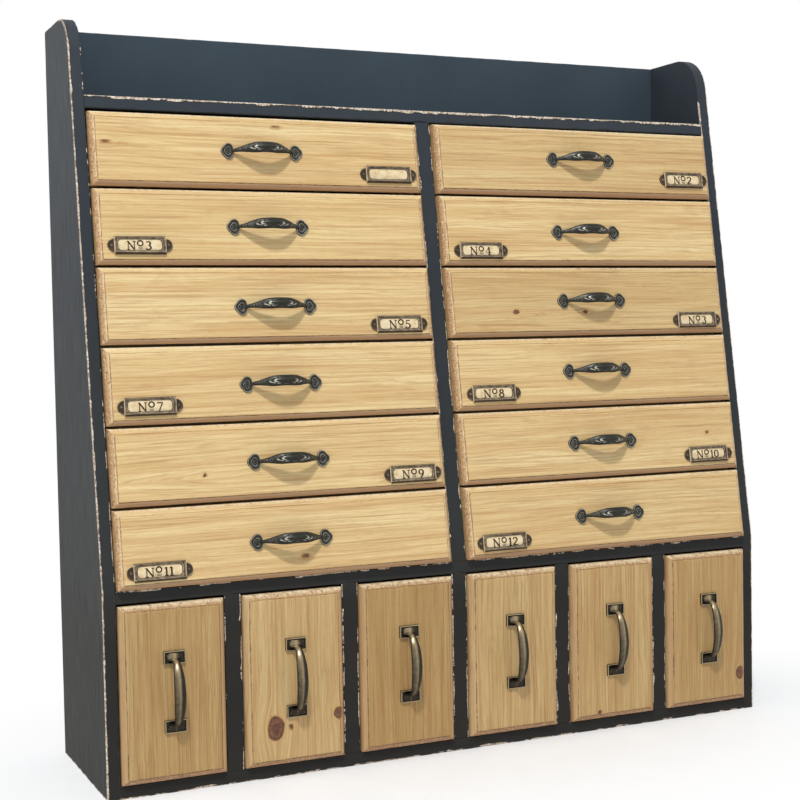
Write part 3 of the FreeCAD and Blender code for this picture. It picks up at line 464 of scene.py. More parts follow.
# %% Pine of the fronts
def with_handling_and_shade(pine, shade, place):
    """Lays grime and painted shade into the groove, painted shade on the mouldings that face down and on the
    side mouldings, pits, and pale crests with a painted highlight along the top moulding, and gives the pits
    as well.
    """
    quirk, torn, worn = pine.number("quirk"), pine.number("torn"), pine.number("worn")
    grit = pine.noise(place, 620, 2, 0.6)
    clumps = pine.noise(place, 260, 3, 0.65)
    # The groove is darkened in clumps: dirt and old wax, and painted shade.
    groove_dirt_and_shade = pine.maths("MULTIPLY", quirk, pine.spread(clumps, 0.38, 0.6, 0.12, 0.9))
    # Painted shade: the mouldings that face down, and less the side mouldings, are mixed towards a darker
    # brown.
    shade = pine.mix(pine.number("foot"), shade, colour(158, 120, 92))
    shade = pine.mix(groove_dirt_and_shade, shade, colour(92, 62, 42))
    shade = pine.mix(pine.maths("MULTIPLY", torn, 0.5), shade, colour(178, 134, 94))
    pits = pine.maths("MULTIPLY", torn, pine.spread(grit, 0.54, 0.66))
    crests = pine.maths("MULTIPLY", torn, pine.spread(grit, 0.44, 0.34))
    shade = pine.mix(pine.maths("MULTIPLY", pits, 0.65), shade, colour(112, 78, 54))
    shade = pine.mix(pine.maths("MULTIPLY", crests, 0.5), shade, colour(240, 220, 182))
    # Crests and the top moulding's edge are mixed towards cream: rubbed wood, and along the top partly a
    # painted highlight.
    rubbed = pine.maths("MULTIPLY", worn, pine.spread(clumps, 0.36, 0.56, 0.15, 1.0))
    return pine.mix(rubbed, shade, colour(238, 221, 186)), pits


def waxed_pine():
    """Pine from the board's colour, its knots, and the wear, grime, painted shade and painted highlights of
    its mouldings.
    """
    pine = Finish("waxed_pine", Specular_IOR_Level=0.3)
    place = pine.place()
    shade, streaks, fibres, late = board_shade(pine, pine.vector("grain"))
    shade = with_knots(pine, shade, place)
    shade, pits = with_handling_and_shade(pine, shade, place)
    roughness = pine.spread(streaks, 0.3, 0.7, 0.42, 0.56)
    height = pine.maths("ADD", pine.maths("MULTIPLY", fibres, 0.5), pine.maths("MULTIPLY", late, -0.4))
    height = pine.maths("ADD", height, pine.maths("MULTIPLY", pits, -2.0))
    return pine.use(shade, roughness, height, 0.00012, 0.6)


# %% [markdown]
# ### Plain wood inside
#
# The drawer boxes are unwaxed pine and the hidden panels are plywood. Nobody looks at them for long, so
# their grain simply follows one axis of the piece.


# %% Plain wood
def plain_wood(name, light, dark, along, fine):
    """Wood whose grain follows an axis: noise that is stretched a great deal along it."""
    wood = Finish(name, Specular_IOR_Level=0.3)
    place = wood.place()
    scale = [fine, fine, fine]
    scale[along] = fine / 45
    grain = wood.noise(wood.stretch(place, scale), 1, 5, 0.6, 0.3)
    wide = [fine / 9] * 3
    wide[along] = fine / 300
    bands = wood.noise(wood.stretch(place, wide, (7, 3, 1)), 1, 3)
    shade = wood.mix(grain, light, dark)
    shade = wood.mix(wood.spread(bands, 0.35, 0.7, 0, 0.5), shade, dark)
    roughness = wood.spread(grain, 0.3, 0.7, 0.6, 0.75)
    return wood.use(shade, roughness, grain, 0.00015, 0.5)


# %% [markdown]
# ### Dark brass, steel and paper
#
# The pulls are brass under a nearly black skin that has rubbed through on whatever a hand meets. The mesh
# says where as its rub value, which also marks painted highlights, where light would catch the metal, and on
# the strap pulls painted light that is brighter at the upper left. The bow pulls have a greyer skin than the
# strap pulls and the card holders, so the same finish is made with three sets of colours. The cards have gone
# blotchy, and their ink is a dark brown.


# %% Metal and paper
def aged_brass(name, dark, middle, bare_and_highlight, gloss, coat, metallic, mottled):
    """Brass under a skin: the skin thins where the mesh's rub value is high, moved about a little by noise,
    and the rubbed metal's colour shows there, as wear and as painted highlights. Gloss is the rubbed metal's
    roughness, coat the lacquer over both, metallic how much the whole is a metal, and mottled how uneven the
    skin is."""
    brass = Finish(name, Metallic=metallic, Coat_Weight=coat, Coat_Roughness=0.26)
    place = brass.place()
    blotch = brass.noise(place, 240, 3, 0.55)
    fine = brass.noise(place, 1500, 2, 0.6)
    rub = brass.maths("ADD", brass.number("rub"), brass.spread(blotch, 0.25, 0.75, -mottled, mottled))
    skin = brass.mix(brass.spread(blotch, 0.3, 0.7, 0.5 - 3 * mottled, 0.5 + 3 * mottled), dark, middle)
    # Where the rub value is high the colour goes to the rubbed metal's colour: wear, and painted highlights.
    shade = brass.mix(brass.spread(rub, 0.2, 1.0), skin, bare_and_highlight)
    shade = brass.mix(brass.spread(fine, 0.5, 0.8, 0, 0.2), shade, dark)
    roughness = brass.spread(rub, 0.1, 1.0, gloss + 0.1, gloss)
    return brass.use(shade, roughness, brass.maths("ADD", blotch, fine), 0.00004, 0.12)


def pin_steel():
    """Bright steel with faint scratches."""
    steel = Finish("pin_steel", Metallic=1.0)
    scratches = steel.noise(steel.stretch(steel.place(), (900, 900, 90)), 1, 3)
    shade = steel.mix(scratches, colour(140, 140, 138), colour(178, 178, 174))
    return steel.use(shade, steel.spread(scratches, 0.3, 0.7, 0.3, 0.45), scratches, 0.00005, 0.3)


def card_paper():
    """Cream card with foxed blotches."""
    paper = Finish("card_paper", Specular_IOR_Level=0.25)
    place = paper.place()
    blotch = paper.noise(place, 160, 4, 0.65)
    fibre = paper.noise(place, 1400, 2)
    shade = paper.ramp(blotch, (0.3, colour(206, 176, 130)), (0.5, colour(230, 208, 166)),
                       (0.72, colour(238, 222, 188)))
    shade = paper.mix(paper.spread(fibre, 0.5, 0.8, 0, 0.2), shade, colour(206, 172, 130))
    return paper.use(shade, paper.spread(blotch, 0.3, 0.7, 0.7, 0.85), fibre, 0.00004, 0.5)


def brown_ink():
    """Printed ink that is thin in places."""
    ink = Finish("brown_ink", Specular_IOR_Level=0.3)
    worn = ink.noise(ink.place(), 900, 3)
    shade = ink.ramp(worn, (0.35, colour(40, 28, 20)), (0.7, colour(66, 48, 36)))
    return ink.use(shade, ink.spread(worn, 0.3, 0.7, 0.5, 0.7), worn, 0.00002, 0.3)


PAINT = rubbed_paint("rubbed_black_paint", colour(51, 58, 65), colour(56, 62, 68), colour(64, 69, 73))
# The gallery board's paint is a lighter and bluer copy; its extra lightness is painted light, since the sides
# and top shelf shade that board.
GALLERY_LIGHTER_PAINT = rubbed_paint("gallery_paint_painted_lighter", colour(61, 72, 80), colour(65, 77, 86),
                             colour(71, 82, 90))
PINE = waxed_pine()
# Each metal's third colour is its rubbed brass, which also paints its highlights.
BOW_METAL = aged_brass("bow_brass", colour(24, 25, 20), colour(46, 45, 37), colour(214, 210, 192),
                       gloss=0.38, coat=0.16, metallic=0.6, mottled=0.06)
STRAP_METAL = aged_brass("strap_brass", colour(30, 25, 18), colour(49, 41, 30), colour(172, 154, 118),
                         gloss=0.28, coat=0.12, metallic=0.7, mottled=0.05)
HOLDER_METAL = aged_brass("holder_brass", colour(34, 25, 17), colour(76, 56, 36), colour(234, 212, 174),
                          gloss=0.36, coat=0.05, metallic=0.45, mottled=0.1)
BOX_WOOD = plain_wood("box_pine", colour(222, 196, 150), colour(192, 156, 106), 1, 260)
PLY_UP = plain_wood("plywood_upright", colour(206, 178, 134), colour(170, 136, 92), 2, 240)
PLY_ACROSS = plain_wood("plywood_across", colour(210, 182, 138), colour(176, 142, 96), 0, 240)
STEEL, PAPER, INK = pin_steel(), card_paper(), brown_ink()
print("finishes:", len(bpy.data.materials))

# %% [markdown]
# ## Case boards
#
# Every board of the case is a flat outline in the YZ plane that is carried along x: a side is a large
# outline carried 12 mm, a shelf is a small one carried 676 mm. A Bevel modifier would round every edge
# alike, but wear rounds them by an uneven amount, so the corners' radii wander along the board, and so
# does the rounding round the rim of its ends. The distance to the nearest exposed edge goes along as
# "rim", divided by how hard that edge is worn.

# %% A worn board
ARC_STEPS, ROUND_STEPS = 5, 24    # points of a worn corner, and of a corner that is a round of its own
ROUND_FROM = 5                    # a larger radius than this is a round of its own, which wear leaves alone
RIM_LIMIT = 30.0
RIM_STATIONS = [0.7, 1.6, 3, 5.5, 9]
EDGE_HOLD = 0.35


def worn_reach(distance, worn):
    """(distance + s) / worn for an edge, where s is the paint's own hold on the arris, and the limit where
    the edge isn't worn at all."""
    shortened = (distance + EDGE_HOLD) / np.where(worn > 0, worn, 1)
    return np.minimum(np.where(worn > 0, shortened, RIM_LIMIT), RIM_LIMIT)


def edge_stations(length, spacing):
    """Distances along an edge: close together near both ends, and evenly spaced between."""
    near = [d for d in RIM_STATIONS if d < length / 2]
    start = near[-1] if near else 0
    count = max(int((length - 2 * start) / spacing), 0)
    middle = np.linspace(start, length - start, count + 2)[1:-1]
    return np.concatenate([near, middle, length - np.array(near[::-1])])


def ring_plan(corners, spacings, steps):
    """What a ring is made of: for each of its points the two corners it lies between, its part of the way
    from one to the other, its direction from their arcs' centres, and its edge. A corner's own arc has both
    corners the same."""
    count = len(corners)
    ahead = np.roll(corners, -1, axis=0) - corners
    lengths = np.hypot(*ahead.T)
    normals = np.stack([ahead[:, 1], -ahead[:, 0]], -1) / lengths[:, None]
    before = np.roll(normals, 1, axis=0)
    pull = -(before + normals) / (1 + np.sum(before * normals, -1))[:, None]
    plan = {"first": [], "second": [], "part": [], "way": [], "edge": [], "gone": []}
    for m in range(count):
        start = math.atan2(before[m, 1], before[m, 0])
        turn = (math.atan2(normals[m, 1], normals[m, 0]) - start) % (2 * math.pi)
        angles = start + turn * np.linspace(0, 1, steps[m])
        arc = np.stack([np.cos(angles), np.sin(angles)], -1)
        stations = edge_stations(lengths[m], spacings[m])
        edge = np.broadcast_to(normals[m], (len(stations), 2))
        plan["first"] += [m] * (steps[m] + len(stations))
        plan["second"] += [m] * steps[m] + [(m + 1) % count] * len(stations)
        plan["part"] += [0.0] * steps[m] + (stations / lengths[m]).tolist()
        plan["way"] += arc.tolist() + edge.tolist()
        plan["edge"] += [m] * (steps[m] + len(stations))
        plan["gone"] += [0.0] * steps[m] + stations.tolist()
    plan = {key: np.array(value) for key, value in plan.items()}
    plan["left"] = lengths[plan["edge"]] - plan["gone"]
    return plan, pull


def worn_board(corners, ends, edges_worn, ends_worn, seed, spacings, radii, x_step, end_radius=0.9):
    """A board: ring i lies at x_i and is the outline drawn in by q. Its corner m is an arc of radius r about
    a point r + q in from both edges. Near a worn end q = e - sqrt(e² - (e - d)²) at the distance d, and
    beyond it the rings shrink on the flat face. r and e wander with the seed."""
    corners, radii = np.array(corners, float), np.array(radii, float)
    steps = [ROUND_STEPS if radius > ROUND_FROM else ARC_STEPS for radius in radii]
    plan, pull = ring_plan(corners, spacings, steps)
    first, second, part = plan["first"], plan["second"], plan["part"]
    round_ring = corners[first] + (corners[second] - corners[first]) * part[:, None]
    along = np.cumsum(np.hypot(*np.diff(round_ring, axis=0, append=round_ring[:1]).T))
    chips = np.maximum(wander(along, 9, seed) - 0.35, 0) * np.maximum(wander(along, 41, seed + 1), 0)
    rim_radius = end_radius * (1 + 0.3 * wander(along, 6, seed + 2)) + 1.6 * chips
    thick = min(np.ptp(corners, axis=0))
    shrink = [d for d in RIM_STATIONS + [14] if d < thick / 2 - 2]

    def end_rows(worn):
        """Rows near an end: (inset, distance from the end), each a factor of e plus a fixed part."""
        if not max(worn):
            return [(0, 0, 0, 0)]
        angles = np.radians(np.linspace(0, 90, 5))
        flat = [(1, d, 0, 0) for d in reversed(shrink)]
        return flat + [(1 - math.sin(a), 0, 1 - math.cos(a), 0) for a in angles]

    middle = edge_stations(ends[1] - ends[0], x_step)
    rows = [(*row, 0) for row in end_rows(ends_worn[0])]
    rows += [(0, 0, 0, d, 0) for d in middle if d > 1.5 and ends[1] - ends[0] - d > 1.5]
    rows += [(*row, 1) for row in end_rows(ends_worn[1])[::-1]]
    rows = np.array(rows, float)[:, :, None]
    inset = rows[:, 0] * rim_radius + rows[:, 1]
    distance = rows[:, 2] * rim_radius + rows[:, 3]
    x = np.where(rows[:, 4] == 1, ends[1] - distance, ends[0] + distance)

    numbers = range(len(corners))
    wobble = 1 + 0.45 * np.stack([wander(x[:, 0], 7, seed + 5 + m) for m in numbers], -1)
    dents = np.stack([wander(x[:, 0], 15, seed + 15 + m) for m in numbers], -1)
    dents = 2.0 * np.maximum(dents - 0.45, 0) * (np.array(edges_worn) > 0)
    radius = radii * np.where(radii > ROUND_FROM, 1, wobble) + dents

    def corner_point(which):
        own = np.maximum(radius[:, which] - inset, 0.05)
        return corners[which] + (inset + own)[..., None] * pull[which] + own[..., None] * plan["way"]

    yz = corner_point(first) * (1 - part)[:, None] + corner_point(second) * part[:, None]
    points = np.concatenate([x[..., None], yz], axis=-1)

    edge_worn, end_worn = np.array(edges_worn, float), np.array(ends_worn, float)
    reach = [worn_reach(plan["gone"], edge_worn[first])]
    reach.append(worn_reach(plan["left"], edge_worn[(plan["edge"] + 1) % len(corners)]))
    reach = [np.broadcast_to(each, x.shape) for each in reach]
    for end in (0, 1):
        on_face = (rows[:, 1] > 0) & (rows[:, 4] == end)
        from_end = np.where(on_face, rows[:, 1], np.abs(x - ends[end]))
        past = np.where(from_end < 1.2 * rim_radius, np.maximum(from_end - rim_radius, 0), from_end)
        reach.append(worn_reach(past, end_worn[end][plan["edge"]]))
    return closed_skin(points, rim=np.min(reach, axis=0))


# %% [markdown]
# ### The two sides
#
# A side stands upright to the bend, then leans back, and its top front corner is a 40 mm round. Its wear
# is one number for each edge of the outline, in the outline's order from the underside on: the rim of the
# outer face is worn hardest at the front, and the inner face, which the shelves and fronts shelter, much
# less.

# %% Sides
SIDE_OUTLINE = [(FRONT, 0), (BACK, 0), (BACK, CASE_TOP), (front_at(CASE_TOP), CASE_TOP), (FRONT, BEND)]
TOP_ROUND = 40
SIDE_RADII = [0.9, 0.9, 0.9, TOP_ROUND, 0.4]
SIDE_SPACINGS = [8, 14, 6, 2.2, 2.2]
OUTER_WEAR = [0.5, 0.35, 0.15, 1.7, 1.9]
INNER_WEAR = [0, 0, 0.1, 0.55, 0.4]
RING_WEAR = [0.4, 0.4, 0.3, 0, 0]

for name, ends, ends_worn, seed in [
    ("left_side", (CASE_LEFT, INNER_LEFT), (OUTER_WEAR, INNER_WEAR), 11),
    ("right_side", (-INNER_LEFT, -CASE_LEFT), (INNER_WEAR, OUTER_WEAR), 47),
]:
    skin = worn_board(SIDE_OUTLINE, ends, RING_WEAR, ends_worn, seed, SIDE_SPACINGS, SIDE_RADII, 4)
    piece(name, [skin], "case", PAINT, [name])
print("points of a side:", len(skin["points"]))

# %% [markdown]
# ### Shelves and gallery board
#
# These reach from side to side, so their ends don't show, and their rings need points close together only
# along x, where the wear of the front edges changes.


# %% Level boards
UNWORN = ([0] * 4, [0] * 4)
LONG_SPACING, WEAR_STEP = 40, 2.2    # between rings' points where nothing changes, and between the rings


def level_board(outline, edges_worn, seed):
    """A board from side to side, each of its four corners worn by its own share."""
    radii = [1.0 if worn else 0.15 for worn in edges_worn]
    reach = (INNER_LEFT, -INNER_LEFT)
    return worn_board(outline, reach, edges_worn, UNWORN, seed, [LONG_SPACING] * 4, radii, WEAR_STEP)


def upright(front, under, back, over):
    """The corners of an upright rectangle, from its front lower one."""
    return [(front, under), (back, under), (back, over), (front, over)]


shelf_outline = [
    (front_at(SHELF_UNDER), SHELF_UNDER),
    (GALLERY_FACE, SHELF_UNDER),
    (GALLERY_FACE, SHELF_TOP),
    (front_at(SHELF_TOP), SHELF_TOP),
]
LEVEL_BOARDS = [
    ("bottom_board", upright(FRONT, 0, INNER_BACK, BOARD), [0.9, 0, 0, 0.35], 101),
    ("middle_shelf", upright(FRONT, RAIL_UNDER, INNER_BACK, BEND), [0.3, 0, 0, 1.0], 131),
    ("top_shelf", shelf_outline, [0.2, 0, 0, 2.6], 161),
    ("gallery_board", upright(GALLERY_FACE, SHELF_UNDER, BACK, CASE_TOP), [0, 0, 0.15, 0.12], 191),
]
for name, outline, edges_worn, seed in LEVEL_BOARDS:
    # The gallery board takes the lighter copy of the paint, which is painted light.
    paint = GALLERY_LIGHTER_PAINT if name == "gallery_board" else PAINT
    piece(name, [level_board(outline, edges_worn, seed)], "case", paint, [name])
print("level boards:", len(LEVEL_BOARDS))

# %% [markdown]
# ### Dividers
#
# The dividers stand between the shelves. Their rings run round the small outline seen from above, so the
# same board is made lying down, along z, and its axes are changed over at the end.


# %% Dividers
def standing_board(left, right, foot, head, lean, seed):
    """A divider: a board carried along z instead of x, leaning back by lean for each millimetre it rises,
    at its front edge, and less towards its rear edge, which stays upright."""
    outline = [(FRONT, -right), (INNER_BACK, -right), (INNER_BACK, -left), (FRONT, -left)]
    skin = worn_board(outline, (foot, head), [0.75, 0, 0, 0.55], UNWORN, seed, [LONG_SPACING] * 4,
                      [0.9, 0.15, 0.15, 0.9], WEAR_STEP)
    up, back, across = skin["points"].T
    share = (INNER_BACK - back) / (INNER_BACK - FRONT)
    skin["points"] = np.stack([-across, back + lean * (up - foot) * share, up], -1)
    return skin


divider = standing_board(-DIVIDER / 2, DIVIDER / 2, BEND, SHELF_UNDER, SLOPE, 211)
piece("centre_divider", [divider], "case", PAINT, ["centre_divider"])
tall_lefts = INNER_LEFT + np.arange(TALL_DRAWERS) * (TALL_OPENING + TALL_DIVIDER)
tall_dividers = [
    standing_board(left - TALL_DIVIDER, left, BOARD, RAIL_UNDER, 0, 231 + 20 * k)
    for k, left in enumerate(tall_lefts[1:])
]
piece("lower_dividers", tall_dividers, "case", PAINT, ["lower_dividers"])
for name, finish in [("back_panel", PLY_UP), ("dust_panels", PLY_ACROSS), ("back_pins", STEEL)]:
    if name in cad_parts:
        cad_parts[name].data.materials.clear()
        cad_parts[name].data.materials.append(finish)
print("case pieces:", len(made_pieces))

# %% [markdown]
# ## Drawer fronts
#
# A front is a height over a rectangle, and the height depends on the distance d to the nearest edge: a
# quarter round from the edge, a narrow dark groove behind it, then the flat field that stands highest. The
# four mouldings meet in mitres by themselves, because the nearest edge changes there. Points are close
# together where the height changes, and d is shifted a little by `wander`, so no line is quite straight.
# On the two mouldings that cut across the grain the wood is torn, which is a real unevenness of the mesh.

# %% The moulding
MOULDING_WIDE, MOULDING_DEEP, MOULDING_POWER = 4.7, 4.4, 1.6
EDGE_STATIONS = [0, 0.12, 0.35, 0.7, 1.2, 1.8, 2.5, 3.3, 4.1, 4.65, 4.85, 5.0, 5.15, 5.35, 5.7, 6.4, 8]
STEP_PLACES = [4.65, 4.85, 5.0, 5.15, 5.4, 5.8, 6.5]
STEP_DROPS = [1.0, 1.3, 1.35, 0.55, 0.22, 0.05, 0.0]
FRONT_GAP, FRONT_LIFT, FRONT_REAR = 1.25, 0.5, 12.0
UPPER_HIGH, UPPER_PROUD = 69.5, 8.7
TALL_HIGH, TALL_PROUD = 159.5, 6.7


def drop_at(d):
    """How far the moulding lies behind the field at the distance d from the edge: the step's table, and over
    the round deep (1 - (1 - t^p)^(1/p)) more, with t = 1 - d / wide and the power p."""
    t = np.clip(1 - d / MOULDING_WIDE, 0, 1)
    bowed = 1 - (1 - t**MOULDING_POWER) ** (1 / MOULDING_POWER)
    return np.interp(d, STEP_PLACES, STEP_DROPS) + MOULDING_DEEP * bowed


def stations(length, pitch):
    """Places across a front: the edge stations from both edges, and even steps between."""
    edge = np.array(EDGE_STATIONS)
    count = int((length - 2 * edge[-1]) / pitch)
    middle = np.linspace(edge[-1], length - edge[-1], count + 2)[1:-1]
    return np.concatenate([edge, middle, length - edge[::-1]])


# %% [markdown]
# The grain is worked out beside the shape. A board that is sawn flat shows its rings as long arches, so
# the distance across the grain is sqrt(c² + (a k)²) about the arches' middle, and each knot pushes the
# lines aside, so that they pass round it.


# %% Grain and knots
def grain_of(along, across, seed, knots, arch):
    """The triple (along, bent across, board) for the grain, and the value that grows in a knot. At s along
    and q across from a knot of radius r, the distance across shrinks by 0.9 q exp(-(s / 3.2 r)² -
    (q / 2 r)²), and the knot's value is its depth times 1.55 less the distance to its middle in lumpy
    radii, kept from 0 to 1."""
    middle, taper = arch
    offset = across - middle
    wave = 1.1 * mottle(along, across, (120, 34), seed) + 0.3 * mottle(along, across, (37, 12), seed + 1)
    wave = wave + 0.13 * mottle(along, across, (9, 5), seed + 8)
    start = along.max() * (0.3 + 0.4 * ((seed * 37) % 10) / 10)
    bent = np.sign(offset) * (np.sqrt(offset**2 + ((along - start) * taper) ** 2)) + wave
    knot = np.zeros_like(along)
    for a, c, radius, depth, stretch in knots:
        s, q = along - a, across - c
        near = np.exp(-((s / (3.2 * radius)) ** 2) - (q / (2.0 * radius)) ** 2)
        bent = bent - 0.9 * q * near
        lumpy = radius * (1 + 0.13 * mottle(s + 50, q + 50, (0.9 * radius, 0.9 * radius), seed + 2))
        knot = np.maximum(knot, depth * np.clip(1.55 - np.hypot(s / stretch, q) / lumpy, 0, 1))
    grain = np.stack([along / 100, bent / 100, np.full_like(along, seed * 0.37)], -1)
    return grain, knot


# %% [markdown]
# A front is built from the same few arrays, one number for each point of the grid: its place, the distance
# to the nearest edge, and what kind of edge that is. So they are worked out first, and handed on together.


# %% Grid and relief of a front
EDGE_OFFSETS = (900, 300, 700)    # keep the four edges' wandering lines apart from each other


def front_grid(wide, high, upright_grain):
    """Places x and z, the distance d to the nearest edge, whether that edge is an upright one, and whether
    its moulding cuts across the grain."""
    pitch = 2.4 if wide > high else 2.6
    x, z = np.meshgrid(stations(wide, pitch), stations(high, pitch), indexing="ij")
    to_side, to_level = np.minimum(x, wide - x), np.minimum(z, high - z)
    at_side = to_side < to_level
    return x, z, np.minimum(to_side, to_level), at_side, at_side != upright_grain


def edge_shake(grid, wide, high, seed):
    """How unsteady the moulding is: a wandering line along each edge, and a finer one where it is torn."""
    x, z, _, at_side, torn_edge = grid
    upright_far, right_far, upper_far = EDGE_OFFSETS
    along = np.where(at_side, z + upright_far, x)
    shake = wander(along + right_far * (x > wide / 2) + upper_far * (z > high / 2), 5, seed + 3)
    return shake + 0.6 * wander(along, 1.9, seed + 4) * torn_edge


def front_relief(grid, shake, proud, seed):
    """How far out of the case each point is: proud less the drop at d, which the shake shifts, less what is
    torn from the cross-grain mouldings, less a ripple of the field, less chips at the outer edge."""
    x, z, d, _, torn_edge = grid
    inside = eased(np.clip(d / 1.5, 0, 1))
    shifted = d + inside * (0.12 + 0.16 * torn_edge) * shake * (d < 9)
    out = proud - drop_at(shifted)
    moulded = eased(np.clip((6 - d) / 1.5, 0, 1)) * inside
    out = out - moulded * torn_edge * 0.3 * np.abs(mottle(x, z, (1.7, 1.7), seed + 5))
    out = out - (0.05 + 0.05 * mottle(x, z, (60, 24), seed + 6)) * (d > 6)
    chips = np.maximum(mottle(x, z, (5, 5), seed + 7) - 0.62, 0) * (d < 1.2)
    return out - 2.4 * chips


# %% [markdown]
# The finish needs to know where the mouldings are dirty, torn and worn, and where they are painted darker as
# shade or paler as a highlight. Each of these is a band of the distance d, stronger on one edge than on
# another. They belong to the face only, so the rear, which is bare wood, gets none of them.


# %% A moulded front
FACE_ONLY = {"quirk", "torn", "worn", "foot"}


def front_wear(grid, shake, high, upright_grain, tone):
    """The named values of the mouldings: each is an amount at the edge or in the groove that fades over a
    millimetre or so of the distance d."""
    _, z, d, at_side, torn_edge = grid
    at_foot, at_head = ~at_side & (z < high / 2), ~at_side & (z > high / 2)
    quirk = np.interp(d, [4.5, 4.8, 5.1, 5.4], [0, 1, 1, 0]) * np.clip(0.7 + 0.6 * shake, 0.1, 1)
    # The groove's darkness is partly painted shade, so it is lighter along the top, where light reaches into
    # it.
    quirk = np.where(at_head, 0.35 * quirk, quirk)
    torn = torn_edge * np.interp(d, [4.4, 5.8], [1, 0])
    moulding = np.interp(d, [4.4, 5.2], [1, 0])
    tones = tone + moulding * at_side * np.where(torn_edge, 0.12, -0.5 * tone)
    crest = band(d, 3.9, 0.5) * np.where(torn_edge & at_side, 0.8, 0.1)
    # Along the top moulding's edge the pale line is partly rubbed wood and partly a painted highlight.
    worn = crest + np.interp(d, [0.4, 3.8 if upright_grain else 2.6], [1, 0]) * at_head * 0.9
    # Painted shade on the mouldings that face down and, less, on the side mouldings, where the outer part is
    # darker.
    outer_side = np.interp(d, [1, 2.6], [0.5, 0])
    moulding_shade = np.select([at_foot, at_side & ~torn_edge, at_side], [0.8, 0.4, outer_side], 0)
    return {"quirk": quirk, "torn": torn, "tone": tones, "worn": worn, "foot": moulding * moulding_shade}


def moulded_front(wide, high, proud, seed, upright_grain, knots, arch, tone):
    """A front from x = 0 to wide and z = 0 to high, its height measured out from the case's front. The grid
    of its face is carried back to the rear as a wall round its rim, and one flat face closes it."""
    grid = front_grid(wide, high, upright_grain)
    x, z = grid[:2]
    shake = edge_shake(grid, wide, high, seed)
    out = front_relief(grid, shake, proud, seed)
    along, across = (z, x) if upright_grain else (x, z)
    grain, knot = grain_of(along, across, seed, knots, arch)
    values = {"grain": grain, "knot": knot, **front_wear(grid, shake, high, upright_grain, tone)}

    rows, columns = x.shape
    index = np.arange(rows * columns).reshape(rows, columns)
    face = np.stack([index[:-1, :-1], index[1:, :-1], index[1:, 1:], index[:-1, 1:]], -1).reshape(-1, 4)
    rim = np.concatenate([index[:-1, 0], index[-1, :-1], index[:0:-1, -1], index[0, :0:-1]])
    rear = rows * columns + np.arange(len(rim))
    wall = np.stack([rim, rear, np.roll(rear, -1), np.roll(rim, -1)], -1)
    front_points = np.stack([x, out, z], -1).reshape(-1, 3)
    rear_points = front_points[rim] * [1, 0, 1] + [0, proud - FRONT_REAR, 0]
    for key, value in values.items():
        flat = value.reshape((x.size,) + value.shape[2:])
        values[key] = np.concatenate([flat, flat[rim] * (key not in FACE_ONLY)])
    points = np.concatenate([front_points, rear_points])
    return {"points": points, "faces": [face, wall, rear[None, ::-1]], "values": values}


def stand_in_case(skin, left, floor, lean):
    """Moves a front from its own corner to its opening, and leans it back with the case's front."""
    x, out, z = skin["points"].T
    up = z + FRONT_LIFT
    skin["points"] = np.stack([left + x + FRONT_GAP, front_at(floor) + lean * up - out, floor + up], -1)
    flip = enclosed_volume(skin["points"], skin["faces"]) < 0
    skin["faces"] = [face[:, ::-1] if flip else face for face in skin["faces"]]
    return skin


# %% [markdown]
# ## Drawer boxes
#
# Behind each front is a plain box of thin boards: two sides, a back and a plywood bottom. Each board is a
# closed block with slightly eased edges.

# %% Boxes
BOX_GAP, BOX_BOARD, BOX_LIFT = 1.5, 8.0, 0.3
BOTTOM_LIFT, BOTTOM = 4.0, 3.0
UPPER_BOX_HIGH, TALL_BOX_HIGH = 52.0, 120.0
EASE = 0.5


def block(low, high):
    """A box with eased edges: its outline seen from above at six heights, drawn in by the ease at the top
    and the bottom."""
    low, high = np.array(low, float), np.array(high, float)
    inset = np.array([EASE, EASE * 0.3, 0, 0, EASE * 0.3, EASE])
    tall = high[2] - low[2]
    height = np.array([0, EASE * 0.3, EASE, tall - EASE, tall - EASE * 0.3, tall])
    signs = np.array([(-1, -1), (0, -1), (1, -1), (1, 0), (1, 1), (0, 1), (-1, 1), (-1, 0)])
    middle, half = (low + high) / 2, (high - low) / 2
    plan = middle[:2] + signs * (half[:2] - inset[:, None, None])
    up = np.broadcast_to((low[2] + height)[:, None, None], plan.shape[:2] + (1,))
    return closed_skin(np.concatenate([plan, up], -1))


def drawer_box(left, wide, floor, high, front_rear, rear):
    """The four boards of a box, between the rear of its front and the back of the case."""
    west, east = left + BOX_GAP, left + wide - BOX_GAP
    under, over = floor + BOX_LIFT, floor + BOX_LIFT + high
    base = under + BOTTOM_LIFT
    start = front_rear + 0.02
    return [
        block((west, start, under), (west + BOX_BOARD, rear, over)),
        block((east - BOX_BOARD, start, under), (east, rear, over)),
        block((west + BOX_BOARD, rear - BOX_BOARD, under), (east - BOX_BOARD, rear, over)),
        block((west + BOX_BOARD, start, base), (east - BOX_BOARD, rear - BOX_BOARD, base + BOTTOM)),
    ]


# %% [markdown]
# ## Wide drawers
#
# Twelve wide drawers, numbered row by row from the top left. Their grain runs across, some boards have
# knots, and the arches of the grain sit differently in each. A knot is its place along and across the
# grain, its radius, how deep its colour goes, and how many times longer than wide it is. The first front
# has been planed a little lower than the others, and a few boards are browner.

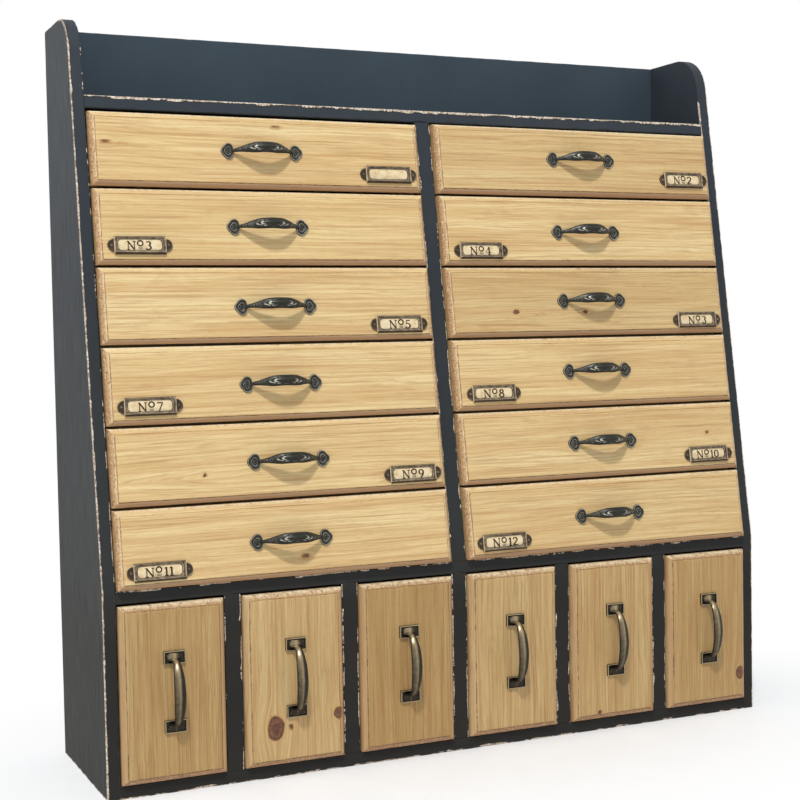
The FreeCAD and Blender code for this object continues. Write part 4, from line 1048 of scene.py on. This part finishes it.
# %% Wide drawers
REAR = INNER_BACK - 0.4
WIDE_KNOTS = {
    1: [(13.5, 40.2, 2.4, 0.46, 2.6), (27, 39.6, 1.1, 0.42, 16), (178, 59.5, 2.0, 0.44, 3.4)],
    6: [(74, 24.8, 2.5, 0.7, 1.5), (104, 22.6, 0.9, 0.44, 16), (155, 24.4, 2.4, 0.6, 1.5)],
    9: [(85, 25.2, 1.6, 0.7, 1.5)],
    10: [(290, 39.5, 2.2, 0.5, 1.5)],
    11: [(176, 18, 3.2, 0.45, 1.8)],
}
TRIMMED = {1: 1.3}
WIDE_TONES = {2: 0.2, 6: 0.25, 12: 0.12, 10: 0.08}
wide_places = {}
for number in range(1, ROWS * COLUMNS + 1):
    row, column = divmod(number - 1, COLUMNS)
    left = INNER_LEFT + column * (UPPER_OPENING + DIVIDER)
    floor = BEND + (ROWS - 1 - row) * ROW_PITCH
    wide_places[number] = (left, floor)
    random = np.random.default_rng(500 + number)
    arch = (random.uniform(-20, 90), random.uniform(0.0, 0.05))
    wide = UPPER_OPENING - 2 * FRONT_GAP
    front = moulded_front(wide, UPPER_HIGH - TRIMMED.get(number, 0), UPPER_PROUD, 300 + 9 * number, False,
                          WIDE_KNOTS.get(number, []), arch, WIDE_TONES.get(number, 0.05))
    name = f"upper_drawer_{number:02d}"
    piece(name + "_front", [stand_in_case(front, left, floor, SLOPE)], name, PINE, [name])
    start = front_at(floor) + SLOPE * UPPER_BOX_HIGH + FRONT_REAR - UPPER_PROUD
    box = drawer_box(left, UPPER_OPENING, floor, UPPER_BOX_HIGH, start, REAR)
    piece(name + "_box", box, name, BOX_WOOD, [name])
print("points of a wide front:", len(front["points"]))

# %% [markdown]
# ## Tall drawers
#
# The six tall drawers are made in the same way with their grain upright, and they stand a little less
# proud.

# %% Tall drawers
TALL_KNOTS = {
    2: [(34.4, 27.4, 7.6, 1.0, 1.3), (42.6, 89.6, 4.0, 0.95, 1.3), (34.6, 42.2, 1.5, 0.75, 3.0)],
    5: [(7.7, 29.5, 1.9, 0.8, 1.4)],
    6: [(29.3, 88.4, 4.8, 0.95, 1.4)],
}
TALL_TONES = {1: 0.56, 2: 0.36, 3: 0.62, 4: 0.42, 5: 0.44, 6: 0.52}
for number, left in enumerate(tall_lefts, 1):
    random = np.random.default_rng(700 + number)
    arch = (random.uniform(10, 90), random.uniform(0.0, 0.05))
    wide = TALL_OPENING - 2 * FRONT_GAP
    front = moulded_front(wide, TALL_HIGH, TALL_PROUD, 600 + 9 * number, True, TALL_KNOTS.get(number, []),
                          arch, TALL_TONES[number])
    name = f"lower_drawer_{number}"
    piece(name + "_front", [stand_in_case(front, left, BOARD, 0)], name, PINE, [name])
    box = drawer_box(left, TALL_OPENING, BOARD, TALL_BOX_HIGH, FRONT + FRONT_REAR - TALL_PROUD, REAR)
    piece(name + "_box", box, name, BOX_WOOD, [name])
print("points of a tall front:", len(front["points"]))

# %% [markdown]
# ## Pulls and card holders
#
# The metal pieces are worked out flat, with a to the right, b up and n out from the wood, and then put on
# their front, which may lean. The rub value is high where a hand meets the metal, and also where the metal
# is painted bright as a highlight, or brighter on its lit side.


# %% On a front
def put_on(skins, x, y, z, lean):
    """Takes (a, b, n) to the frame: a goes along x, b up the leaning face, n straight out of it."""
    size = math.hypot(1, lean)
    turn = np.array([[1, 0, 0], [0, lean / size, 1 / size], [0, -1 / size, lean / size]])
    for skin in skins:
        skin["points"] = skin["points"] @ turn + [x, y, z]
        if enclosed_volume(skin["points"] - [x, y, z], skin["faces"]) < 0:
            skin["faces"] = [face[:, ::-1] for face in skin["faces"]]
    return skins


def turned(profile, middle=(0, 0), count=24, lobes=None):
    """A shape turned about n: ring i has the radius and height of row i of the profile, the radius times
    lobes, a number for each direction. The row's third number is its rub."""
    profile = np.array(profile, float)
    angle = np.linspace(0, 2 * math.pi, count, endpoint=False)
    reach = profile[:, :1] * (np.ones(count) if lobes is None else lobes)
    rings = np.stack([middle[0] + reach * np.cos(angle), middle[1] + reach * np.sin(angle),
                      np.broadcast_to(profile[:, 1:2], reach.shape)], -1)
    return closed_skin(rings, rub=np.broadcast_to(profile[:, 2:3], reach.shape))


# %% [markdown]
# ### Bow pulls
#
# A bow pull is a bar that rises from two leaf-shaped plates. The bar is an ellipse carried along a cosine
# arch. It swells from a thin neck to a broad middle, where a long smooth lens stands out of it, edged by a
# groove, and its arms are beaded. A leaf plate is a turned shape whose radius changes with the direction:
# the smooth largest of four circles' reaches, which gives its three lobes.

# %% Bow pull
BOW_SPAN, BOW_RISE, BOW_FOOT, BOW_LIFT = 29.5, 14.6, 2.2, 1.3
BOW_SCREW = 33.7
NECK_HIGH, NECK_DEEP = 1.7, 1.4      # half the bar's section where it leaves a plate
SWELL_HIGH, SWELL_DEEP = 3.4, 1.0    # and what its broad middle adds
LENS_HALF, LENS_HIGH = 12.4, 2.75
GROOVE, LENS_RING = (-0.04, 0.1), (-0.34, 0.2)    # where they lie in the lens's own measure, and how wide
BEAD_PITCH, BEAD_HIGH = 2.3, 0.14
LEAF_CIRCLES = [(-0.7, 3.2, 4.55), (-0.7, -3.2, 4.55), (2.5, 0, 4.35), (-3.1, 0, 2.6)]
LEAF_PROFILE = [
    (1.0, 0.0, 0.0), (1.0, 0.7, 0.1), (0.985, 1.2, 0.45), (0.94, 1.6, 0.6), (0.86, 1.65, 0.35),
    (0.78, 1.35, 0.05), (0.7, 1.1, 0.0), (0.62, 1.15, 0.15), (0.52, 1.4, 0.45), (0.44, 1.42, 0.4),
    (0.38, 1.1, 0.05), (0.3, 0.9, 0.0),
]
SCREW_PROFILE = [
    (1.9, 0.8, 0.0), (1.9, 1.3, 0.3), (1.6, 1.6, 0.45), (1.2, 1.65, 0.2), (0.9, 1.3, 0.0), (0.15, 1.2, 0.0),
]


def leaf_reach(angle):
    """How far the leaf reaches in a direction: for each circle the far crossing of the ray, c cos +
    sqrt(r² - c² sin²) about its centre's direction, and the eighth root of the sum of their eighth powers,
    which is nearly the largest."""
    total = 0
    for a, b, radius in LEAF_CIRCLES:
        away, toward = math.hypot(a, b), math.atan2(b, a)
        sine = away * np.sin(angle - toward)
        far = away * np.cos(angle - toward) + np.sqrt(np.maximum(radius**2 - sine**2, 0))
        total = total + np.maximum(far, 0) ** 8
    return total ** (1 / 8)


def bow_bar():
    """The bar: ring i is an ellipse square to the arch n = foot + rise cos(pi a / 2 A), and it lifts by
    L (1 - (a / A)²) as well. On its front half the lens 1 - (a / half)² - (b / high)² is added outwards
    where it is positive, with a groove and a raised ring in bands round it, and beads on the arms. The rub
    value is high on the lens's shore near its ends and on the ring below the lens, which are painted
    highlights, lower on the ring above it, and high on the beads."""
    a = BOW_SPAN * np.sin(np.linspace(-math.pi / 2, math.pi / 2, 120))[:, None]
    share = np.abs(a) / BOW_SPAN
    rise = BOW_FOOT + (BOW_RISE - BOW_FOOT) * np.cos(math.pi * share / 2)
    tilt = np.arctan(-(BOW_RISE - BOW_FOOT) * math.pi / 2 / BOW_SPAN * np.sin(math.pi * a / 2 / BOW_SPAN))
    body = eased(np.clip((1 - share) / 0.7, 0, 1))
    half_high = NECK_HIGH + SWELL_HIGH * body
    half_deep = NECK_DEEP + SWELL_DEEP * body
    turn = np.linspace(0, 2 * math.pi, 44, endpoint=False)[None, :]
    b, n = half_high * np.cos(turn), half_deep * np.sin(turn)
    front = np.clip(np.sin(turn), 0, 1)
    lens = 1 - (a / LENS_HALF) ** 2 - (b / LENS_HIGH) ** 2
    ring, groove = band(lens, *LENS_RING), band(lens, *GROOVE)
    swell = 1.1 * np.clip(lens, 0, 1) + 0.3 * ring - 0.3 * groove
    bead_zone = np.interp(np.abs(a), [15.5, 17.5, 24, 26], [0, 1, 1, 0])
    beads = BEAD_HIGH * bead_zone * np.cos(np.abs(a) * 2 * math.pi / BEAD_PITCH) * np.cos(b * 1.2)
    n = n + front * (swell + beads)
    lift = BOW_LIFT * (1 - share**2)
    rings = np.stack([a - n * np.sin(tilt), b + lift, rise + n * np.cos(tilt)], -1)
    # Painted highlights: the lens's shore near its ends, and the ring below the lens, are painted bright
    # where lamps would be reflected.
    shore = band(lens, 0.3, 0.17)
    ends = shore * np.interp(np.abs(a), [5, 9.5], [0, 1]) + 0.5 * shore * (b < 0)
    under = np.where(b < 0, 0.75, 0.3)
    arms = 0.2 * np.interp(np.abs(a), [14, 17, 25, 28], [0, 1, 1, 0])
    rub = np.clip(front * (0.1 + 0.6 * ends + under * ring - 0.5 * groove + arms) + 0.9 * beads, 0, 1)
    return closed_skin(rings, rub=rub)


def bow_pull():
    """The bar, two leaf plates that point outwards, and a round-headed screw in each."""
    skins = [bow_bar()]
    angle = np.linspace(0, 2 * math.pi, 72, endpoint=False)
    for way in (-1, 1):
        lobes = leaf_reach(angle if way > 0 else math.pi - angle)
        skins.append(turned(LEAF_PROFILE, (way * BOW_SCREW, 0), 72, lobes))
        skins.append(turned(SCREW_PROFILE, (way * BOW_SCREW, 0)))
    return skins


# %% [markdown]
# ### Strap pulls
#
# A strap pull has a rectangular plate with a raised rim at each end and a strap that arches between them.
# The strap's section is a flattened ellipse with a soft ridge down its middle. It is narrow where it
# leaves a plate and spreads over the plate as a leaf.

# %% Strap pull
PLATE_WIDE, PLATE_HIGH, STRAP_LONG = 20.4, 12.0, 74.0
STRAP_SPAN, STRAP_RISE = 29.0, 17.2
PIN_ACROSS, PIN_UP = 6.4, 1.8
PIN_PROFILE = [(1.4, 0.8, 0.0), (1.4, 1.1, 0.1), (1.1, 1.5, 0.3), (0.6, 1.7, 0.4), (0.1, 1.72, 0.3)]


def rounded_outline(wide, high, radius, arc_steps=6, edge_steps=8):
    """A rectangle with round corners, about 0: the same number of points whatever its sizes are."""
    half = np.array([wide, high]) / 2 - radius
    parts = []
    corners = np.array([(1, 1), (-1, 1), (-1, -1), (1, -1)]) * half
    for m, corner in enumerate(corners):
        angles = np.radians(90 * m + np.linspace(0, 90, arc_steps))
        arc = corner + radius * np.stack([np.cos(angles), np.sin(angles)], -1)
        end = corners[(m + 1) % 4] + radius * np.array([math.cos(angles[-1]), math.sin(angles[-1])])
        steps = np.linspace(0, 1, edge_steps + 2)[1:-1, None]
        parts += [arc, arc[-1] + (end - arc[-1]) * steps]
    return np.concatenate(parts)


def rimmed_plate(middle):
    """A plate: outlines drawn in step by step, up its side, over its rim and down to its field."""
    steps = [(0, 0, 0), (0, 1.3, 0.2), (0.2, 1.9, 0.9), (0.7, 2.1, 1.0), (1.1, 1.9, 0.4), (1.35, 1.2, 0),
             (1.6, 0.8, 0), (3.0, 0.75, 0), (5.0, 0.75, 0)]
    rings, rub = [], []
    for inset, height, rubbed in steps:
        ring = rounded_outline(PLATE_WIDE - 2 * inset, PLATE_HIGH - 2 * inset, max(0.9 - inset, 0.15))
        rings.append(np.column_stack([ring + middle, np.full(len(ring), height)]))
        rub.append(np.full(len(ring), rubbed))
    return closed_skin(np.array(rings), rub=np.array(rub))


def strap():
    """The strap: rings along b on the arch n = foot + rise cos(pi t / 2), wide in the middle, narrow at the
    necks, and spread again on the plates, where it lies flat."""
    t = np.linspace(-1.16, 1.16, 110)[:, None]
    share = np.abs(t)
    arch = np.cos(math.pi * np.clip(share, 0, 1) / 2) ** 0.82
    rise = 1.5 + (STRAP_RISE - 1.5) * arch
    over_arch, past_arch = np.sin(math.pi * share / 2) ** 1.12, 1 + (share - 1) * 1.3
    b = STRAP_SPAN * np.sign(t) * np.where(share < 1, over_arch, past_arch)
    slope = np.gradient(rise[:, 0], b[:, 0])[:, None]
    tilt = np.arctan(slope)
    wide = np.interp(share, [0, 0.35, 0.75, 0.9, 1.0, 1.08, 1.16], [5.5, 5.1, 3.3, 3.9, 6.4, 7.4, 5.6])
    deep = np.interp(share, [0, 0.5, 0.9, 1.0, 1.16], [2.3, 2.1, 1.6, 1.1, 0.55])
    turn = np.linspace(0, 2 * math.pi, 28, endpoint=False)[None, :]
    a = wide * np.cos(turn)
    ridge = 0.35 * band(a, 0, 1.3) * np.clip(np.sin(turn), 0, 1)
    n = deep * np.sin(turn) * (1 - 0.25 * (np.sin(turn) < 0)) + ridge
    rings = np.stack([a, b - n * np.sin(tilt), rise + n * np.cos(tilt)], -1)
    front = np.clip(np.sin(turn), 0, 1)
    # Painted light: the strap's front is painted brighter towards its upper end and its left edge and darker
    # towards its right edge; its ridge is brighter too.
    rub = np.clip(front * (0.34 + 0.22 * t - 0.36 * a / wide) + 0.9 * ridge, 0, 1)
    return closed_skin(rings, rub=rub)


def strap_pull():
    """The strap, its two plates and four pins."""
    plate_middle = (STRAP_LONG - PLATE_HIGH) / 2
    skins = [strap()]
    for up in (-1, 1):
        skins.append(rimmed_plate((0, up * plate_middle)))
        for side in (-1, 1):
            skins.append(turned(PIN_PROFILE, (side * PIN_ACROSS, up * (plate_middle + PIN_UP)), 16))
    return skins


# %% [markdown]
# ### Card holders
#
# A holder is a stamped frame round a window, with a thick lip below it and an ear with a pin at each end.
# The frame is a loop both ways: its section goes up the outside, over the top, down a bevel to the window
# and back underneath, where it is hollow and holds the card. Each point of the section lies part of the
# way from the window's outline to the frame's.

# %% Card holder
HOLDER_WIDE, HOLDER_HIGH = 48.0, 16.5
WINDOW_WIDE, WINDOW_HIGH, WINDOW_RAISE = 40.4, 9.8, 0.6
EAR_REACH, EAR_RADIUS, HOLDER_PIN = 24.0, 6.0, 26.4
WINDOW_ROUND = 3.0
FRAME_SECTION = [
    (0.0, 0.5, 0.0), (0.0, 0.7, 0.2), (0.22, 0.95, 0.5), (0.4, 1.15, 0.4), (0.44, 1.7, 0.0),
    (0.6, 1.85, 0.5), (0.82, 1.85, 0.4), (0.95, 1.75, 0.1), (1.0, 1.4, 0.0), (1.0, 0.0, 0.0),
    (0.86, 0.0, 0.0), (0.86, 0.5, 0.0),
]


def holder_frame():
    """The frame as rings round the window, one for each point of the section: window + (frame - window) part,
    at the point's height. The walls at its two ends are painted bright, as highlights."""
    outer = rounded_outline(HOLDER_WIDE, HOLDER_HIGH, 0.8, 6, 10)
    inner = rounded_outline(WINDOW_WIDE, WINDOW_HIGH, WINDOW_ROUND, 6, 10) + [0, WINDOW_RAISE]
    at_ends = np.abs(outer[:, 0]) > HOLDER_WIDE / 2 - 0.3
    rings, rub = [], []
    for part, n, rubbed in FRAME_SECTION:
        rings.append(np.column_stack([inner + (outer - inner) * part, np.full(len(outer), n)]))
        # The end walls' upper parts are painted bright as highlights.
        rub.append(np.where(at_ends & (part > 0.9) & (n > 1), 1.0, rubbed))
    return closed_skin(np.array(rings), looped=True, rub=np.array(rub))


def holder_lip():
    """The lip: a half-round bar under the window, its ends drawn in."""
    a = (HOLDER_WIDE / 2 - 0.2) * np.sin(np.linspace(-math.pi / 2, math.pi / 2, 40))[:, None]
    turn = np.linspace(0, 2 * math.pi, 20, endpoint=False)[None, :]
    size = np.sqrt(np.clip(1 - (np.abs(a) / (HOLDER_WIDE / 2 - 0.1)) ** 30, 0.05, 1))
    b = -HOLDER_HIGH / 2 + 1.35 + 1.3 * size * np.cos(turn)
    n = 1.5 + 1.35 * size * np.sin(turn)
    rub = 0.7 * band(turn, 1.0, 0.3) + 0 * a
    return closed_skin(np.stack([a + 0 * n, b, n], -1), rub=rub)


def holder_ear(way):
    """A D-shaped ear about its pin: its reach in a direction is to the ear's circle, or to the frame where
    that is nearer."""
    angle = np.linspace(0, 2 * math.pi, 48, endpoint=False)
    away = HOLDER_PIN - EAR_REACH
    circle = -away * np.cos(angle) + np.sqrt(EAR_RADIUS**2 - (away * np.sin(angle)) ** 2)
    straight = (HOLDER_PIN - HOLDER_WIDE / 2 + 1.0) / np.maximum(-np.cos(angle), 1e-3)
    reach = np.minimum(circle, straight)
    reach = reach if way > 0 else np.roll(reach[::-1], 1 + len(reach) // 2)
    profile = [(1, 0, 0), (1, 0.9, 0.1), (0.96, 1.25, 0.45), (0.88, 1.3, 0.3), (0.8, 1.0, 0),
               (0.6, 0.85, 0), (0.4, 0.85, 0), (0.1, 0.85, 0)]
    return turned(profile, (way * HOLDER_PIN, 0), 48, reach)


def card_holder():
    """The frame, its lip, two ears and their pins."""
    skins = [holder_frame(), holder_lip()]
    sunk_pin = [(radius, n - 0.3, rubbed) for radius, n, rubbed in PIN_PROFILE]
    for way in (-1, 1):
        skins.append(holder_ear(way))
        skins.append(turned(sunk_pin, (way * HOLDER_PIN, 0), 16))
    return skins


# %% [markdown]
# ### Cards and their numbers
#
# A card is a slip of thin board in the holder. A text object would need a font that looks as old as the
# card, so its number is drawn with a pen instead: each stroke is a line whose half width grows where it
# runs upright, as with a broad nib, and serifs are short thin strokes of their own.

# %% Pen strokes
CARD_WIDE, CARD_HIGH, CARD_THICK, CARD_REST = 45.6, 12.4, 0.22, 0.1
INK_THICK = 0.04


def arc(middle, reach, start, stop, steps=26):
    """Points on an ellipse from one angle to another, in degrees."""
    angle = np.radians(np.linspace(start, stop, steps))
    return np.stack([middle[0] + reach[0] * np.cos(angle), middle[1] + reach[1] * np.sin(angle)], -1)


def line(*corners):
    """A straight or bent line through its corners."""
    return np.array(corners, float)


THIN, THICK = 0.055, 0.105
# For each letter how far the next one starts to its right, and its strokes as (path, half width), all as
# shares of its height. No half width means the pen's own.
LETTERS = {
    "0": (0.78, [(arc((0.38, 0.5), (0.29, 0.46), 0, 360, 40), None)]),
    "1": (0.6, [(line((0.28, 0), (0.28, 1)), THICK), (line((0.06, 0.84), (0.28, 0.97)), THIN),
                (line((0.06, 0.03), (0.5, 0.03)), THIN)]),
    "2": (0.78, [(np.vstack([arc((0.36, 0.71), (0.27, 0.25), 165, -35), line((0.08, 0.06))]), None),
                 (line((0.05, 0.06), (0.72, 0.06)), 0.065)]),
    "3": (0.76, [(arc((0.34, 0.75), (0.25, 0.21), 150, -80), None),
                 (arc((0.33, 0.28), (0.3, 0.26), 85, -155), None)]),
    "4": (0.8, [(line((0.52, 0.98), (0.05, 0.3), (0.76, 0.3)), THIN), (line((0.52, 0), (0.52, 1)), THICK),
                (line((0.36, 0.03), (0.68, 0.03)), THIN)]),
    "5": (0.76, [(line((0.18, 0.95), (0.64, 0.95)), 0.065), (line((0.18, 0.95), (0.14, 0.55)), THIN),
                 (arc((0.3, 0.3), (0.33, 0.28), 125, -150), None)]),
    "7": (0.76, [(line((0.06, 0.94), (0.7, 0.94)), 0.07), (line((0.7, 0.94), (0.28, 0)), 0.07)]),
    "8": (0.78, [(arc((0.38, 0.75), (0.22, 0.2), 0, 360, 36), None),
                 (arc((0.38, 0.27), (0.29, 0.24), 0, 360, 36), None)]),
    "9": (0.78, [(arc((0.37, 0.68), (0.27, 0.27), 0, 360, 36), None),
                 (arc((0.1, 0.68), (0.55, 0.66), 2, -72), None)]),
    "N": (1.19, [(line((0.17, 0), (0.17, 1)), THIN), (line((0.14, 1), (0.88, 0)), 0.095),
                 (line((0.88, 0), (0.88, 1)), THIN), (line((0, 0.97), (0.22, 0.97)), THIN),
                 (line((0.02, 0.03), (0.34, 0.03)), THIN), (line((0.72, 0.97), (1.06, 0.97)), THIN)]),
    "o": (0.97, [(arc((0.385, 0.76), (0.31, 0.3), 0, 360, 36), 0.085),
                 (line((0.13, 0.24), (0.64, 0.24)), 0.035), (line((0.13, 0.1), (0.64, 0.1)), 0.035)]),
}


def stroke(path, weight, size, shift, rest):
    """A flat ribbon along a path: half width = weight, or thin + (thick - thin) |rise| for a pen, where rise
    is how upright the path runs."""
    path = path * size
    run = np.gradient(path, axis=0)
    run = run / np.linalg.norm(run, axis=1)[:, None]
    pen = THIN + (THICK - THIN) * np.abs(run[:, 1])
    half = (pen if weight is None else np.full(len(path), weight)) * size
    aside = np.stack([-run[:, 1], run[:, 0]], -1) * half[:, None]
    left, right = path + aside + shift, path - aside + shift
    low, high = np.full(len(path), rest), np.full(len(path), rest + INK_THICK)
    rings = np.stack([np.column_stack([left, low]), np.column_stack([right, low]),
                      np.column_stack([right, high]), np.column_stack([left, high])], axis=1)
    return closed_skin(rings)


def written(text, size, middle):
    """The strokes of a text, centred on a point of the card."""
    width = sum(LETTERS[letter][0] for letter in text) * size
    across = middle[0] - width / 2
    strokes = []
    for letter in text:
        advance, parts = LETTERS[letter]
        shift = np.array([across, middle[1] - size / 2])
        strokes += [stroke(path, weight, size, shift, CARD_REST + CARD_THICK) for path, weight in parts]
        across += advance * size
    return strokes


def card():
    """The slip: its outline at four heights, with its edges just eased."""
    rings = []
    for inset, height in [(0.05, 0), (0, 0.05), (0, CARD_THICK - 0.05), (0.05, CARD_THICK)]:
        ring = rounded_outline(CARD_WIDE - 2 * inset, CARD_HIGH - 2 * inset, 0.6) + [0, WINDOW_RAISE]
        rings.append(np.column_stack([ring, np.full(len(ring), CARD_REST + height)]))
    return closed_skin(np.array(rings))


# %% [markdown]
# ### Fitting them
#
# The holders hang at the right of their drawers in one row and at the left in the next. They and the pulls
# were set by hand, so each one's place comes from its own node. The first card is blank, and the sixth
# repeats a number. Each number is printed a little off centre.

# %% Metal of the wide drawers
CARD_TEXTS = {number: f"No{number}" for number in wide_places}
CARD_TEXTS.update({1: "", 6: "No3"})
LETTER_SIZE = 7.9
LETTER_RAISE = -0.1
LEAN_SIZE = math.hypot(1, SLOPE)
BOW_PLATE_HALF, HOLDER_HALF = 7.8, HOLDER_HIGH / 2


def fitted_place(node, half_high, floor):
    """Where a fitting's middle is on its leaning front: the middle of its node's box across, and half its own
    height above the box's lowest point."""
    low, high = node_box(node)
    z = low[2] + half_high / LEAN_SIZE
    return (low[0] + high[0]) / 2, front_at(floor) - UPPER_PROUD + SLOPE * (z - floor), z


for number, (left, floor) in wide_places.items():
    body = f"upper_drawer_{number:02d}"
    pull_node, holder_node = f"bow_pull_{number:02d}", f"label_holder_{number:02d}"
    pull = put_on(bow_pull(), *fitted_place(pull_node, BOW_PLATE_HALF, floor), SLOPE)
    piece(pull_node + "_metal", pull, body, BOW_METAL, [pull_node])
    where = fitted_place(holder_node, HOLDER_HALF, floor)
    piece(holder_node + "_metal", put_on(card_holder(), *where, SLOPE), body, HOLDER_METAL,
          [holder_node])
    piece(f"card_{number:02d}", put_on([card()], *where, SLOPE), body, PAPER)
    if CARD_TEXTS[number]:
        random = np.random.default_rng(900 + number)
        middle = (random.uniform(-1, 1), LETTER_RAISE + random.uniform(-0.2, 0.2))
        text = put_on(written(CARD_TEXTS[number], LETTER_SIZE, middle), *where, SLOPE)
        piece(f"card_number_{number:02d}", text, body, INK)

print("card texts:", *CARD_TEXTS.values())

# %% [markdown]
# The strap pulls of the tall drawers stand on upright fronts, so they don't lean, and each sits in the
# middle of its own node's box.

# %% Metal of the tall drawers
for number in range(1, TALL_DRAWERS + 1):
    node = f"strap_pull_{number}"
    low, high = node_box(node)
    pull = put_on(strap_pull(), (low[0] + high[0]) / 2, FRONT - TALL_PROUD, (low[2] + high[2]) / 2, 0)
    piece(node + "_metal", pull, f"lower_drawer_{number}", STRAP_METAL, [node])
print("pieces:", len(made_pieces), "triangles:", sum(len(p.data.loop_triangles) for p in made_pieces))

# %% [markdown]
# ## Stage, light and camera
#
# The cabinet stands on a plain white floor. A small lamp, high up at the front and left, gives the pulls
# their shadows on the fronts below them, a large faint one lights the left side, and a pale world fills
# the rest. Brighter light would bleach the colours, so the white background comes from the kind of ray
# instead: to the camera, to reflections and to rays that pass through glass, the world and the far floor
# are plain white.


# %% Floor and world
def white_floor():
    """A pale floor that turns plain white for the camera away from the cabinet."""
    floor = Finish("white_floor", Specular_IOR_Level=0.2)
    nodes, links = floor.tree.nodes, floor.tree.links
    place = floor.place()
    grain = floor.noise(place, 30, 3)
    shade = floor.mix(grain, colour(252, 252, 251), colour(255, 255, 254))
    floor.use(shade, floor.spread(grain, 0.3, 0.7, 0.6, 0.7), grain, 0.0001, 0.2)
    spot = floor.stretch(place, (0.8, 1.3, 1))
    away = floor.add("VectorMath", {0: spot}, operation="LENGTH").outputs["Value"]
    white = floor.add("Emission", {"Color": (1, 1, 1, 1), "Strength": 1.0}).outputs[0]
    rays = floor.add("LightPath", {}).outputs
    mirrored = floor.maths("MAXIMUM", rays["Is Glossy Ray"], rays["Is Transmission Ray"])
    direct = floor.maths("MAXIMUM", rays["Is Camera Ray"], mirrored)
    seen = floor.maths("MULTIPLY", floor.spread(away, 0.15, 0.52), direct)
    mixed = floor.add("MixShader", {0: seen, 1: floor.shader.outputs[0], 2: white}).outputs[0]
    links.new(mixed, nodes["Material Output"].inputs["Surface"])
    return floor.material


floor_mesh = bpy.data.meshes.new("floor")
floor_mesh.from_pydata([(-6, -6, 0), (6, -6, 0), (6, 6, 0), (-6, 6, 0)], [], [(0, 1, 2, 3)])
floor_mesh.materials.append(white_floor())
floor = bpy.data.objects.new("floor", floor_mesh)
bpy.context.scene.collection.objects.link(floor)

world = bpy.data.worlds.new("studio")
bpy.context.scene.world = world
world.use_nodes = True
nodes, links = world.node_tree.nodes, world.node_tree.links
path = nodes.new("ShaderNodeLightPath")
mirrored, seen = nodes.new("ShaderNodeMath"), nodes.new("ShaderNodeMath")
mirrored.operation = seen.operation = "MAXIMUM"
links.new(path.outputs["Is Glossy Ray"], mirrored.inputs[0])
links.new(path.outputs["Is Transmission Ray"], mirrored.inputs[1])
links.new(path.outputs["Is Camera Ray"], seen.inputs[0])
links.new(mirrored.outputs[0], seen.inputs[1])
fill, plain = nodes["Background"], nodes.new("ShaderNodeBackground")
fill.inputs["Color"].default_value = colour(236, 242, 250)
fill.inputs["Strength"].default_value = 0.45
both = nodes.new("ShaderNodeMixShader")
links.new(seen.outputs[0], both.inputs[0])
links.new(fill.outputs[0], both.inputs[1])
links.new(plain.outputs[0], both.inputs[2])
plain.inputs["Color"].default_value = (1, 1, 1, 1)
links.new(both.outputs[0], nodes["World Output"].inputs["Surface"])


# %% Lamps
def soft_lamp(name, place, target, size, power):
    """A square lamp at a place, facing a target."""
    light = bpy.data.lights.new(name, "AREA")
    light.shape = "SQUARE"
    light.size = size
    light.energy = power
    lamp = bpy.data.objects.new(name, light)
    bpy.context.scene.collection.objects.link(lamp)
    lamp.location = place
    facing = np.array(target) - np.array(place)
    lamp.rotation_mode = "QUATERNION"
    lamp.rotation_quaternion = Vector(facing).to_track_quat("-Z", "Y")
    return lamp


TARGET = np.array([0, -0.05, 0.36])
KEY_WAY, KEY_FAR, KEY_SIZE, KEY_POWER = np.array([-0.285, -0.484, 0.827]), 5.0, 0.38, 171
SIDE_WAY, SIDE_FAR, SIDE_SIZE, SIDE_POWER = np.array([-0.78, -0.34, 0.56]), 4.0, 2.8, 17
soft_lamp("key_lamp", TARGET + KEY_FAR * KEY_WAY, TARGET, KEY_SIZE, KEY_POWER)
soft_lamp("side_lamp", TARGET + SIDE_FAR * SIDE_WAY, TARGET, SIDE_SIZE, SIDE_POWER)
print("lamps:", KEY_POWER, "W and", SIDE_POWER, "W")

# %% [markdown]
# The camera stands low and to the left, close enough that the near side looks taller than the far one.

# %% Camera
CAMERA_PLACE = (-0.6523, -1.3918, 0.4123)
CAMERA_YAW, CAMERA_PITCH, CAMERA_ROLL = 0.4266, -0.047, -0.018
FOCAL_PIXELS, FRAME_PIXELS, SENSOR = 1507.6, 800, 36.0

sine, cosine = math.sin(CAMERA_YAW), math.cos(CAMERA_YAW)
flat_part = math.cos(CAMERA_PITCH)
ahead = np.array([sine * flat_part, cosine * flat_part, math.sin(CAMERA_PITCH)])
level = np.array([cosine, -sine, 0])
up = np.cross(level, ahead)
right = level * math.cos(CAMERA_ROLL) + up * math.sin(CAMERA_ROLL)
up = up * math.cos(CAMERA_ROLL) - level * math.sin(CAMERA_ROLL)
camera_data = bpy.data.cameras.new("camera")
camera_data.sensor_width = SENSOR
camera_data.lens = SENSOR * FOCAL_PIXELS / FRAME_PIXELS
camera_data.clip_end = 50
camera = bpy.data.objects.new("camera", camera_data)
turned_to = Matrix(np.stack([right, up, -ahead], 1).tolist()).to_4x4()
camera.matrix_world = Matrix.Translation(CAMERA_PLACE) @ turned_to
bpy.context.scene.collection.objects.link(camera)
bpy.context.scene.camera = camera
bpy.context.scene.view_settings.view_transform = "Standard"
